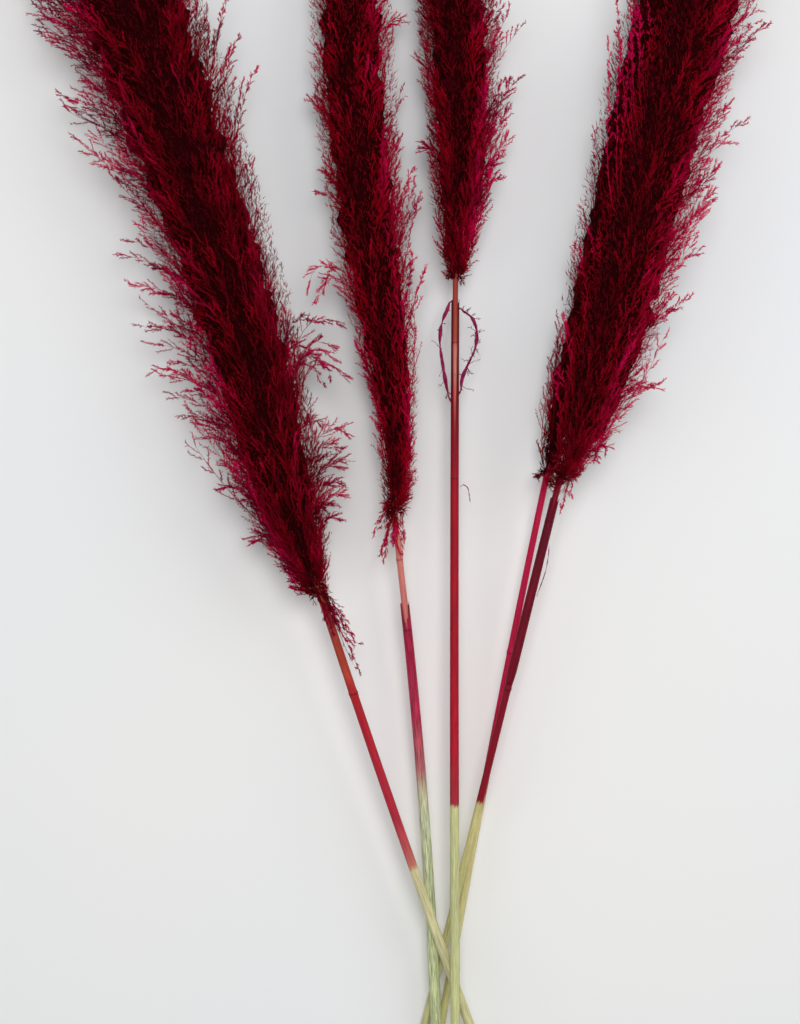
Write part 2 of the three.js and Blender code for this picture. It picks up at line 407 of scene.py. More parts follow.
@dataclass(frozen=True)
class Cuts:
    """What level cuts across a CAD node find."""

    at: np.ndarray  # (cuts,) where each cut is on the axis
    low: np.ndarray  # (cuts, 3) its section's lowest corner
    high: np.ndarray  # (cuts, 3) and highest corner

    @classmethod
    def through(cls, node: str, axis: Axis, count: int, inset: float) -> Cuts:
        """Cuts a node across an axis, at even steps.

        A cut at c meets the edge from p to q at p + (q - p) (c - p_axis) / (q_axis - p_axis).

        Args:
            node: The CAD node's name.
            axis: The axis that the cuts are square to.
            count: How many cuts.
            inset: How far the first and last cuts are from the node's ends.

        Returns:
            The cuts, in order along the axis.
        """
        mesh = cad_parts[node].data
        mesh.calc_loop_triangles()
        points = np.empty(3 * len(mesh.vertices), np.float32)
        mesh.vertices.foreach_get("co", points)
        corners = np.empty(3 * len(mesh.loop_triangles), np.int32)
        mesh.loop_triangles.foreach_get("vertices", corners)
        faces = points.reshape(-1, 3).astype(float)[corners.reshape(-1, 3)]
        starts = faces.reshape(-1, 3)
        ends = np.roll(faces, -1, axis=1).reshape(-1, 3)
        column = axis.value
        first, last = starts[:, column].min() + inset, starts[:, column].max() - inset
        at = np.linspace(first, last, count)
        low, high = np.empty((count, 3)), np.empty((count, 3))
        for i, place in enumerate(at):
            meets = (starts[:, column] - place) * (ends[:, column] - place) < 0
            start, end = starts[meets], ends[meets]
            share = (place - start[:, column]) / (end[:, column] - start[:, column])
            found = start + (end - start) * share[:, None]
            low[i], high[i] = found.min(0), found.max(0)
        return cls(at, low, high)

    def middle(self) -> np.ndarray:
        """The middle of each section's box, (cuts, 3)."""
        return (self.low + self.high) / 2


@dataclass(frozen=True)
class Line:
    """A smooth line in space, as close points, with a distance along it."""

    points: np.ndarray  # (n, 3)
    along: np.ndarray  # (n,)

    @classmethod
    def fitted(cls, cuts: Cuts, degree: int, start: float, end: float) -> Line:
        """Fits a line to the middles of cuts across Y: x and z are polynomials of y.

        Args:
            cuts: The cuts.
            degree: The polynomials' degree.
            start: The y at which the line starts, where its distance is 0.
            end: The y at which it ends.

        Returns:
            The line.
        """
        middle = cuts.middle()
        y = np.linspace(start, end, 240)
        centre = middle[:, 1].mean()
        columns = [np.polyfit(middle[:, 1] - centre, middle[:, k], degree) for k in (0, 2)]
        x, z = (np.polyval(column, y - centre) for column in columns)
        return cls.through(np.stack([x, y, z], -1))

    @classmethod
    def through(cls, points: np.ndarray) -> Line:
        """A line through points, with the distance summed from point to point."""
        steps = np.linalg.norm(np.diff(points, axis=0), axis=-1)
        return cls(points, np.concatenate([[0.0], np.cumsum(steps)]))

    def along_at(self, y: np.ndarray) -> np.ndarray:
        """The distance along the line at each y."""
        return np.interp(y, self.points[:, 1], self.along)

    @property
    def length(self) -> float:
        """The line's whole length."""
        return float(self.along[-1])

    def at(self, along: np.ndarray) -> np.ndarray:
        """The point at each distance. Past an end the line runs straight on.

        Args:
            along: Distances from the start.

        Returns:
            The points, with a last axis of x, y, z.
        """
        inside = np.clip(along, 0, self.length)
        point = np.stack([np.interp(inside, self.along, self.points[:, k]) for k in range(3)], -1)
        return point + self.ahead(along) * (along - inside)[..., None]

    def ahead(self, along: np.ndarray) -> np.ndarray:
        """The direction of the line at each distance.

        Args:
            along: Distances from the start.

        Returns:
            Unit vectors, with a last axis of x, y, z.
        """
        step = self.length / 100
        centre = np.clip(along, step, self.length - step)
        before, after = (
            np.stack([np.interp(centre + d, self.along, self.points[:, k]) for k in range(3)], -1)
            for d in (-step, step)
        )
        return unit(after - before)

    def place(self, along: np.ndarray, right: np.ndarray, above: np.ndarray) -> np.ndarray:
        """The point beside and above the line at each distance.

        Args:
            along: Distances from the start.
            right: How far to the right of the line, seen from above.
            above: How far above it.

        Returns:
            at(along) + right * (ahead x up) + above * up.
        """
        beside = unit(np.cross(self.ahead(along), UP))
        return self.at(along) + right[..., None] * beside + above[..., None] * UP


# ------------------------------------------------------------------ finishes


class NodeTree:
    """A short way to write a material's nodes."""

    def __init__(self, name: str) -> None:
        """Starts a material with a Principled surface.

        Args:
            name: The material's name.
        """
        self.material = bpy.data.materials.new(name)
        self.material.use_nodes = True
        self.tree = self.material.node_tree
        self.surface = self.tree.nodes["Principled BSDF"]

    def node(self, kind: str, **settings: object) -> bpy.types.Node:
        """Adds a node.

        Args:
            kind: Its type, such as ShaderNodeMath.
            **settings: Properties of the node to set.

        Returns:
            The node.
        """
        made = self.tree.nodes.new(kind)
        for key, value in settings.items():
            setattr(made, key, value)
        return made

    def join(self, socket: bpy.types.NodeSocket, value: object) -> None:
        """Feeds a socket from another socket, or sets its number or colour.

        Args:
            socket: The socket to feed or set.
            value: Another socket, a number or a colour.
        """
        if isinstance(value, bpy.types.NodeSocket):
            self.tree.links.new(value, socket)
        else:
            socket.default_value = value

    def maths(self, operation: str, *values: object) -> bpy.types.NodeSocket:
        """A Math node's answer.

        Args:
            operation: The operation, such as MULTIPLY.
            *values: Its inputs, sockets or numbers.

        Returns:
            Its output socket.
        """
        made = self.node("ShaderNodeMath", operation=operation)
        for socket, value in zip(made.inputs, values):
            self.join(socket, value)
        return made.outputs[0]

    def places(self) -> tuple[bpy.types.NodeSocket, bpy.types.NodeSocket]:
        """The piece's two places on its colour map."""
        uv = self.node("ShaderNodeUVMap", uv_map=COLOUR_MAP)
        split = self.node("ShaderNodeSeparateXYZ")
        self.join(split.inputs[0], uv.outputs[0])
        return split.outputs[0], split.outputs[1]

    def ramp(self, share: object, stops: list[tuple[float, Colour]]) -> bpy.types.NodeSocket:
        """A colour ramp.

        Args:
            share: What drives it.
            stops: Pairs of position and linear colour.

        Returns:
            Its colour socket.
        """
        made = self.node("ShaderNodeValToRGB")
        elements = made.color_ramp.elements
        while len(elements) < len(stops):
            elements.new(0.5)
        for element, (position, colour) in zip(elements, stops):
            element.position = position
            element.color = (*colour, 1.0)
        self.join(made.inputs[0], share)
        return made.outputs[0]

    def mix(
        self, share: object, first: object, second: object, blend: str = "MIX"
    ) -> bpy.types.NodeSocket:
        """Mixes two colours.

        Args:
            share: How much of the second.
            first: The first colour.
            second: The second colour.
            blend: The way to blend them.

        Returns:
            The mixed colour's socket.
        """
        made = self.node("ShaderNodeMix", data_type="RGBA", blend_type=blend)
        self.join(made.inputs[0], share)
        self.join(made.inputs[6], first)
        self.join(made.inputs[7], second)
        return made.outputs[2]

    def times(self, first: object, second: object) -> bpy.types.NodeSocket:
        """One colour multiplied by another."""
        return self.mix(1.0, first, second, "MULTIPLY")

    def surfaced(self, colour: object, **values: object) -> bpy.types.Material:
        """Gives the surface its colour and its other values.

        Args:
            colour: Its base colour.
            **values: Values of its other sockets, with _ for each space in their names.

        Returns:
            The finished material.
        """
        self.join(self.surface.inputs["Base Color"], colour)
        for name, value in values.items():
            self.surface.inputs[name.replace("_", " ")].default_value = value
        return self.material

    def noise(self, place: object, scale: float, detail: float = 3.0) -> bpy.types.NodeSocket:
        """A noise pattern.

        Args:
            place: Where on the pattern.
            scale: How many marks to a unit of place.
            detail: How many finer layers it has.

        Returns:
            The socket of its strength.
        """
        made = self.node("ShaderNodeTexNoise")
        self.join(made.inputs["Vector"], place)
        made.inputs["Scale"].default_value = scale
        made.inputs["Detail"].default_value = detail
        return made.outputs[0]


def linear(red: int, green: int, blue: int) -> Colour:
    """A colour from its display values of 0 to 255, as the linear values that shaders take."""
    shares = [value / 255 for value in (red, green, blue)]
    return tuple(s / 12.92 if s <= 0.04045 else ((s + 0.055) / 1.055) ** 2.4 for s in shares)


@dataclass(frozen=True)
class FluffFinish:
    """Dyed, dry, silky fluff, always matte: painted shade makes it dark wine deep inside, and
    painted light makes its crimson fringe bright.
    """

    name: str = "dyed_fluff"
    # the depth ramp's colours: painted shade deep inside, the dyed crimson, and painted light
    # shining through the fringe
    deep: Colour = linear(44, 0, 2)
    middle: Colour = linear(146, 0, 22)
    fringe: Colour = linear(186, 6, 72)
    dull: Colour = (0.36, 0.3, 0.34)  # what the dullest tone multiplies the colour by
    bright: Colour = (1.5, 1.5, 1.5)  # and the brightest

    def build(self) -> bpy.types.Material:
        """Makes the material: tone is across the map, and depth is up it, from core to fringe. The
        ramp over depth paints shade at the core and light at the fringe.
        """
        nodes = NodeTree(self.name)
        tone, depth = nodes.places()
        # painted shade and light by depth: darkest at the core, brightest at the fringe
        painted_depth_shade = nodes.ramp(depth, [(0.14, self.deep), (0.44, self.middle), (0.82, self.fringe)])
        dull, bright = (nodes.times(painted_depth_shade, (*shade, 1.0)) for shade in (self.dull, self.bright))
        return nodes.surfaced(
            nodes.mix(tone, dull, bright),
            Roughness=0.85,
            Specular_IOR_Level=0.03,
            Sheen_Weight=0.05,
            Sheen_Roughness=0.5,
            Sheen_Tint=(0.9, 0.12, 0.25, 1.0),
        )


@dataclass(frozen=True)
class StemFinish:
    """Dye that has soaked down a dry stem and stops above its cut end.

    The stops give a colour at a distance from the cut end. Streaks run along the stem and make the
    dye's edge ragged.
    """

    name: str
    length: float  # of the stem, which the colour map's height stands for
    stops: Stops
    rings: tuple[float, ...] = ()  # dark lines round the stem, as distances from the cut end
    streaks: float = 0.35  # how much darker the darkest streak is
    ribs: float = 26.0  # streaks round the stem, roughly
    ragged: float = 6 * MM  # how far the dye's edge wanders
    ring_width: float = 1.3 * MM
    cut_face: Colour = linear(222, 208, 168)

    def build(self) -> bpy.types.Material:
        """Makes the material, on the piece's own map: across is round the stem, up is along it."""
        nodes = NodeTree(self.name)
        across, up = nodes.places()
        turn, radius = nodes.maths("MULTIPLY", across, TURN), self.ribs / TURN
        circle = [nodes.maths("MULTIPLY", nodes.maths(k, turn), radius) for k in ("COSINE", "SINE")]
        streak, blotch = (self.pattern(nodes, circle, up, stretch) for stretch in (14.0, 60.0))
        off_middle = nodes.maths("SUBTRACT", streak, 0.5)
        wander = nodes.maths("MULTIPLY", off_middle, 2 * self.ragged / self.length)
        stops = [(place, self.cut_face) for place in (0.0, 0.5 * MAP_FOOT)]
        stops += [(self.on_map(place), linear(*colour)) for place, *colour in self.stops]
        base = nodes.ramp(nodes.maths("ADD", up, wander), stops)
        for pattern, low, dark, high, light in (
            (streak, 0.3, (1 - self.streaks,) * 3, 0.62, (1.08,) * 3),
            (blotch, 0.35, (0.86, 0.84, 0.84), 0.65, (1.06,) * 3),
        ):
            base = nodes.times(base, nodes.ramp(pattern, [(low, dark), (high, light)]))
        for place in self.rings:
            near = nodes.maths("ABSOLUTE", nodes.maths("SUBTRACT", up, self.on_map(place)))
            near = nodes.maths("DIVIDE", near, self.ring_width / self.length)
            ring = nodes.ramp(near, [(0.2, (0.6, 0.5, 0.5)), (1.0, (1, 1, 1))])
            base = nodes.times(base, ring)
        bump = nodes.node("ShaderNodeBump")
        bump.inputs["Strength"].default_value = 0.365
        bump.inputs["Distance"].default_value = 0.3 * MM
        nodes.join(bump.inputs["Height"], streak)
        nodes.join(nodes.surface.inputs["Normal"], bump.outputs[0])
        return nodes.surfaced(base, Roughness=0.5, Specular_IOR_Level=0.14)

    def on_map(self, place: float) -> float:
        """The height on the colour map of a distance from the cut end."""
        return MAP_FOOT + (1 - MAP_FOOT) * place / self.length

    def pattern(
        self,
        nodes: NodeTree,
        circle: list[bpy.types.NodeSocket],
        up: bpy.types.NodeSocket,
        stretch: float,
    ) -> bpy.types.NodeSocket:
        """Noise drawn out along the stem.

        Args:
            nodes: The material's nodes.
            circle: The cosine and sine of the way round, so that the pattern has no seam.
            up: The height on the map.
            stretch: How much longer than wide its marks are.

        Returns:
            The noise's socket.
        """
        place = nodes.node("ShaderNodeCombineXYZ")
        scale = 14.0 / stretch
        for socket, value in zip(place.inputs, circle):
            nodes.join(socket, nodes.maths("MULTIPLY", value, scale))
        nodes.join(place.inputs[2], nodes.maths("MULTIPLY", up, self.length / MM / stretch))
        return nodes.noise(place.outputs[0], 1.0, 4.0)


@dataclass(frozen=True)
class StripFinish:
    """Curled, dry strips of leaf, dyed dark."""

    name: str
    colour: Colour
    pale: Colour

    def build(self) -> bpy.types.Material:
        """Makes the material: along the strip is up the piece's map, round it is across."""
        nodes = NodeTree(self.name)
        place = nodes.node("ShaderNodeCombineXYZ")
        for socket, value, scale in zip(place.inputs, nodes.places(), (6.0, 30.0)):
            nodes.join(socket, nodes.maths("MULTIPLY", value, scale))
        strength = nodes.noise(place.outputs[0], 1.0)
        colour = nodes.ramp(strength, [(0.35, self.colour), (0.7, self.pale)])
        return nodes.surfaced(colour, Roughness=0.7, Specular_IOR_Level=0.2)


# ------------------------------------------------------------------ stems


@dataclass(frozen=True)
class StemHabit:
    """One culm, and its leaf sheath if it has one."""

    name: str
    stops: Stops
    sheath_stops: Stops = ()
    slit_length: float = 0.0
    slit_width: float = 0.0
    streaks: float = 0.3
    sheath_streaks: float = 0.45
    ring_step: float = 8 * MM  # between the rings of points along the culm
    joint: float = 0.05  # how much the radius swells above a node and narrows below it
    sheath_wall: float = 0.45 * MM
    raggedness: float = 1.1 * MM  # of the sheath's mouth
    mouth_inset: float = 2.4 * MM  # how far the mouth's waves stay below the solid's end
    growing_length: float = 14 * MM  # over which a sheath that starts at a node widens off the culm


class Stem:
    """A culm that runs on inside its plume, and the leaf sheath round it."""

    def __init__(self, habit: StemHabit) -> None:
        """Reads the culm's line and widths off its solid.

        Args:
            habit: Its colours and its sheath's slit.
        """
        self.habit = habit
        self.node = f"{habit.name}_stem"
        low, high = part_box(self.node)
        self.cuts = Cuts.through(self.node, Axis.Y, 220, 1.5 * MM)
        self.line = Line.fitted(self.cuts, 3, low[1], high[1])
        self.cut_along = self.line.along_at(self.cuts.at)
        self.cut_radius = (self.cuts.high[:, 2] - self.cuts.low[:, 2]) / 2
        steady = np.polyval(np.polyfit(self.cut_along, self.cut_radius, 1), self.cut_along)
        self.node_ring = float(self.cut_along[np.argmax(self.cut_radius - steady)])

    def radius(self, along: np.ndarray) -> np.ndarray:
        """The culm's radius at a distance from its cut end, node swells and all."""
        return np.interp(along, self.cut_along, self.cut_radius)

    def culm(self) -> Shape:
        """The culm, with its cut end hollowed, drawn out to a point inside the plume.

        A ring at a distance along the path is radius (1 + ribs) (cos t right + sin t over), where
        the ribs are 0.012 sin 9 t + 0.008 sin (16 t + 1). A node has a narrow ridge above a narrow
        groove. Past the solid's top, the radius falls away evenly.

        Returns:
            The surface.
        """
        around, habit, length = 24, self.habit, self.line.length
        along = np.concatenate([np.arange(0, length, habit.ring_step), [length]])
        along = np.union1d(along, self.node_ring + np.linspace(-6, 6, 19) * MM)
        off_node = (along - self.node_ring) / MM
        ridge, groove = np.exp(-((off_node - 1.2) ** 2)), np.exp(-((off_node + 0.6) ** 2) / 0.5)
        path = self.line.at(along)
        radius = self.radius(along) * (1 + (habit.joint * ridge - habit.joint * groove))
        plume = f"{habit.name}_plume"
        low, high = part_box(plume)
        rachis = Line.fitted(Cuts.through(plume, Axis.Y, 60, 4 * MM), 5, low[1], high[1])
        inside = np.linspace(0.03, 0.9, 24)
        path = np.concatenate([path, rachis.at(inside * rachis.length)])
        radius = np.concatenate([radius, self.radius(along[-1:]) * (1 - inside) ** 0.8])
        turn = turns(around)
        ribs = 1 + 0.012 * np.sin(9 * turn) + 0.008 * np.sin(16 * turn + 1)
        ring = ring_round(*frames_along(path), around)
        rings = path[:, None] + ring * ribs[:, None] * radius[:, None, None]
        first, ahead = rings[0], unit(path[1] - path[0])
        hollow = ((0.3, 1.6), (0.55, 1.3), (0.62, 0.2), (0.9, 0.0), (0.985, 0.1))
        face = [path[0] + (first - path[0]) * wide + ahead * (deep * MM) for wide, deep in hollow]
        height = MAP_FOOT + (1 - MAP_FOOT) * np.minimum(along / length, 1)
        on_face = np.linspace(0.1, 0.5, len(face)) * MAP_FOOT
        heights = np.concatenate([on_face, height, np.linspace(0.9995, 1.0, len(inside))])
        heights[len(face) - 1 + len(height)] = 0.999
        return skin(np.concatenate([np.stack(face), rings]), heights)

    def sheath_ends(self) -> tuple[float, float]:
        """How far the sheath's foot and mouth are from the culm's cut end."""
        low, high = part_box(f"{self.habit.name}_sheath")
        foot, mouth = self.line.along_at([low[1], high[1]])
        return float(foot), float(mouth)

    def sheath(self) -> Shape:
        """The leaf sheath: a thin tube whose mouth is cut down in a ragged V on top.

        At a turn t and a share v of the way up, it stands at foot + (mouth(t) - foot) v along the
        culm. The mouth is lowered by the slit's length times 1 - (distance from the slit's middle)
        / (half its width), and is ragged by a sum of waves.

        Returns:
            The closed wall: up the outside, over the lip and down the inside.
        """
        habit, around, stations = self.habit, 64, 56
        cuts = Cuts.through(f"{habit.name}_sheath", Axis.Y, 120, 1.0 * MM)
        at = self.line.along_at(cuts.at)
        outer_radius = (cuts.high[:, 2] - cuts.low[:, 2]) / 2
        steady = np.polyfit(at[10:60], outer_radius[10:60], 1)
        foot, mouth = self.sheath_ends()
        turn = turns(around)
        from_slit = np.abs((turn - np.pi / 2 + np.pi) % TURN - np.pi)
        wide = np.polyval(steady, mouth)
        notch = np.maximum(0, 1 - from_slit * wide / (habit.slit_width / 2)) * habit.slit_length
        waves = np.sin(5 * turn + 1) + 0.7 * np.sin(11 * turn) + 0.5 * np.sin(23 * turn + 2)
        ragged = waves * habit.raggedness * (1 + 2 * notch / habit.slit_length)
        top = mouth - notch - habit.mouth_inset + ragged
        share = 1 - (1 - np.linspace(0, 1, stations)) ** 1.6
        along = foot + (top - foot) * share[:, None]
        outer = np.polyval(steady, along) * (1 + 0.02 * np.sin(13 * turn) * np.sin(3 * turn))
        if foot > 20 * MM:
            grown_on = np.clip((along - foot) / habit.growing_length, 0, 1) ** 0.7
            outer = outer * grown_on + (self.radius(along) + 0.15 * MM) * (1 - grown_on)
        inner = outer - habit.sheath_wall * (1 - 0.5 * share[:, None] ** 8)
        along = np.concatenate([along, along[::-1]])
        radius = np.concatenate([outer, inner[::-1]])
        ahead = self.line.ahead(along)
        right = unit(np.cross(ahead, UP))
        ring = np.cos(turn)[:, None] * right + np.sin(turn)[:, None] * np.cross(right, ahead)
        points = self.line.at(along) + radius[..., None] * ring
        height = MAP_FOOT + (1 - MAP_FOOT) * (along / self.line.length).clip(0, 1)
        quads, places = grid_faces(2 * stations, around, True, height)
        none = np.zeros((0, 3), int)
        return Shape(points.reshape(-1, 3), quads, none, places, np.zeros((0, 3, 2)))

    def build(self) -> None:
        """Makes the culm and its sheath, in their own colours."""
        habit, name = self.habit, self.habit.name
        finish = StemFinish(
            f"{name}_culm_dye", self.line.length, habit.stops, (self.node_ring,), habit.streaks
        )
        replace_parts(make_piece(f"{name}_culm", self.culm(), finish.build()), self.node)
        if habit.sheath_stops:
            ring = self.sheath_ends()[1] - habit.slit_length - 3 * MM
            finish = StemFinish(
                f"{name}_sheath_dye", self.line.length, habit.sheath_stops, (ring,),
                habit.sheath_streaks, ribs=40.0,
            )
            sheath = make_piece(
                f"{name}_leaf_sheath", self.sheath(), finish.build()
            )
            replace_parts(sheath, f"{name}_sheath")


@dataclass(frozen=True)
class Strip:
    """A curled, dry strip of leaf or a thin fibre, along its solid."""

    node: str
    axis: Axis
    width: float
    thickness: float
    turns: float  # how often it twists over its length
    tendrils: int  # thin curling threads that fray from it, each with a few florets
    seed: int
    # From its solid's ends to where it hangs on.
    start_step: tuple[float, float, float] = (0.0, 0.0, 0.0)
    end_step: tuple[float, float, float] = (0.0, 0.0, 0.0)

    def build(self, finish: bpy.types.Material) -> None:
        """Makes the strip, with the threads that fray from it.

        Its section is a flat oval, width cos t by thickness sin t, turned steadily along the way
        and narrowed at both ends.

        Args:
            finish: The strip's material.
        """
        stations, around = 120, 10
        middle = Cuts.through(self.node, self.axis, 70, 0.4 * MM).middle()
        start, end = middle[0] + self.start_step, middle[-1] + self.end_step
        line = Line.through(np.concatenate([[start], middle, [end]]))
        share = np.linspace(0, 1, stations)
        path = line.at(share * line.length)
        ahead = unit(np.gradient(path, axis=0))
        first, second = square_to(ahead)
        twist = TURN * self.turns * share + 0.8 * np.sin(9 * share)
        flat = np.cos(twist)[:, None] * first + np.sin(twist)[:, None] * second
        thin = np.cross(ahead, flat)
        size = np.minimum(1, 8 * share + 0.25) * np.minimum(1, 8 * (1 - share) + 0.15)
        size = size * (1 + 0.12 * np.sin(31 * share + 1) + 0.1 * np.sin(57 * share))
        turn = turns(around)
        width = (self.width / 2 * size)[:, None, None] * np.cos(turn)[:, None]
        depth = (self.thickness / 2 * size)[:, None, None] * np.sin(turn)[:, None]
        rings = path[:, None] + width * flat[:, None] - depth * thin[:, None]
        shapes = [skin(rings, share)]
        if self.tendrils:
            shapes += self.frayed(path, ahead)
        piece = make_piece(f"{self.node}_dried", Shape.joined(shapes), finish)
        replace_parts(piece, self.node)

    def frayed(self, path: np.ndarray, ahead: np.ndarray) -> list[Shape]:
        """The curling threads that fray from the strip, each with five florets.

        Args:
            path: The strip's middle line.
            ahead: Its directions.

        Returns:
            The threads, and their florets.
        """
        random, count = np.random.default_rng(self.seed), self.tendrils
        ends_clear, florets = 8, 5
        spot = random.integers(ends_clear, len(path) - ends_clear, count)
        first = leaning(
            ahead[spot] * random.choice([-1, 1], (count, 1)),
            np.radians(random.uniform(15, 60, count)),
            random.uniform(0, TURN, count),
        )
        last = unit(first + random.normal(0, 0.9, first.shape))
        lengths = random.uniform(3, 13, count) * MM
        threads = Twigs(path[spot], first, last, lengths, random.uniform(0.1, 0.9, count))
        steps = np.broadcast_to(np.linspace(0, 1, 6), (count, 6))
        radii = np.broadcast_to(np.array([0.34, 0.3, 0.26, 0.22, 0.16, 0]) * MM, steps.shape)
        places = np.stack([threads.tones, threads.tones[::-1]], -1)
        share = random.uniform(0.3, 1, (count, florets))
        bases, along = threads.at(share).reshape(-1, 3), threads.ahead(share).reshape(-1, 3)
        count = len(bases)
        directions = leaning(along, random.uniform(0.3, 1.3, count), random.uniform(0, TURN, count))
        lengths = random.uniform(1.2, 3.2, count) * MM
        widths = random.uniform(0.45, 0.8, count) * MM
        spots = random.uniform(0.05, 0.95, (count, 2))
        return [
            strands(threads.at(steps), radii, places),
            spikes(bases, directions, lengths, widths, spots, True),
        ]


# ------------------------------------------------------------------ plumes


@dataclass(frozen=True)
class Spray:
    """A long branch that stands clear of its plume, with its lengths in millimetres."""

    leaves: float  # where it leaves the rachis, as a share of the plume's length
    ends: float  # how far along its tip is, as a share of the plume's length
    right: float  # how far its tip is to the right of the rachis
    above: float = 4  # and above it
    arch: float = 0.02  # how far it rises along the plume and falls back, as a share
    bend: float = 0.85  # over 1 it leaves along the rachis and turns away late
    twigs: int = 15
    twig_length: float = 19


def sprays(*rows: tuple[float, ...]) -> tuple[Spray, ...]:
    """Sprays whose values stand in rows, in the order of Spray's fields."""
    return tuple(Spray(*row) for row in rows)


@dataclass(frozen=True)
class PlumeHabit:
    """How one plume grows."""

    stem: str
    seed: int
    branches: int
    branch_share: float  # a low branch's length as a share of the plume's
    twigs: int  # on each branch
    florets: int  # on each twig
    twig_length: float
    fill: float  # how far out the branch tips stand, as a share of the outline
    nod: float  # how much more they hang to the right, or with a minus to the left
    wisp: float  # how far the loosest branches stand out on that side, as a share of the outline
    tone: float  # brighter or duller than the others, on the colour map
    away: float = 1.0  # how far branches stand out on the other side, as a share
    sprays: tuple[Spray, ...] = ()
    tufts: int = 44  # of down, for each branch
    skirt: int = 24  # short branches round its foot
    twig_lean: tuple[float, float] = (14, 44)  # off their branch, in degrees
    floret_lean: tuple[float, float] = (8, 56)  # off their twig, in degrees
    floret_length: tuple[float, float] = (2.7, 0.6)  # mean and spread, in millimetres
    floret_lengths: tuple[float, float] = (1.5, 4.2)  # and the least and most
    floret_width: tuple[float, float] = (0.54, 0.82)
    tuft_length: tuple[float, float] = (3.2, 6.4)
    tuft_width: tuple[float, float] = (0.6, 0.95)


@dataclass
class Branches:
    """Branches as paths, with what their twigs need."""

    paths: np.ndarray  # (n, stations, 3)
    tones: np.ndarray  # (n,)
    radii: np.ndarray  # (n,)
    twig_lengths: np.ndarray  # (n,)
    twigs: int
    florets: int  # on each twig


@dataclass
class Twigs:
    """Twigs as curves: base + length (d0 v + (d1 - d0) v^2 / 2) for v from 0 to 1."""

    bases: np.ndarray
    first: np.ndarray  # d0
    last: np.ndarray  # d1
    lengths: np.ndarray
    tones: np.ndarray

    def at(self, share: np.ndarray) -> np.ndarray:
        """The points of each twig.

        Args:
            share: The shares v of each twig, (n, shares).

        Returns:
            The points, (n, shares, 3).
        """
        v = share[..., None]
        first, last = self.first[:, None], self.last[:, None]
        run = first * v + (last - first) * v**2 / 2
        return self.bases[:, None] + self.lengths[:, None, None] * run

    def ahead(self, share: np.ndarray) -> np.ndarray:
        """The direction at each share v: d0 + (d1 - d0) v, made a unit vector."""
        first, last = self.first[:, None], self.last[:, None]
        return unit(first + (last - first) * share[..., None])


@dataclass
class Florets:
    """Florets, each a short straight piece."""

    bases: np.ndarray
    directions: np.ndarray
    lengths: np.ndarray
    widths: np.ndarray
    tones: np.ndarray
    depths: np.ndarray  # on the colour map

    @staticmethod
    def joined(groups: list[Florets]) -> Florets:
        """Puts several lots of florets together."""
        names = Florets.__dataclass_fields__
        columns = ([getattr(group, name) for group in groups] for name in names)
        return Florets(*map(np.concatenate, columns))

    def some(self, chosen: np.ndarray) -> Florets:
        """Only the chosen florets."""
        return Florets(*(getattr(self, name)[chosen] for name in self.__dataclass_fields__))

    def shape(self) -> Shape:
        """Waisted spikes for the florets at the fringe and plain ones for the rest."""
        outer, parts = self.depths > FRINGE_DEPTH, []
        for waisted, chosen in ((True, outer), (False, ~outer)):
            part = self.some(chosen)
            places = np.stack([part.tones, part.depths], -1).clip(0.01, 0.985)
            parts.append(
                spikes(part.bases, part.directions, part.lengths, part.widths, places, waisted)
            )
        return Shape.joined(parts)


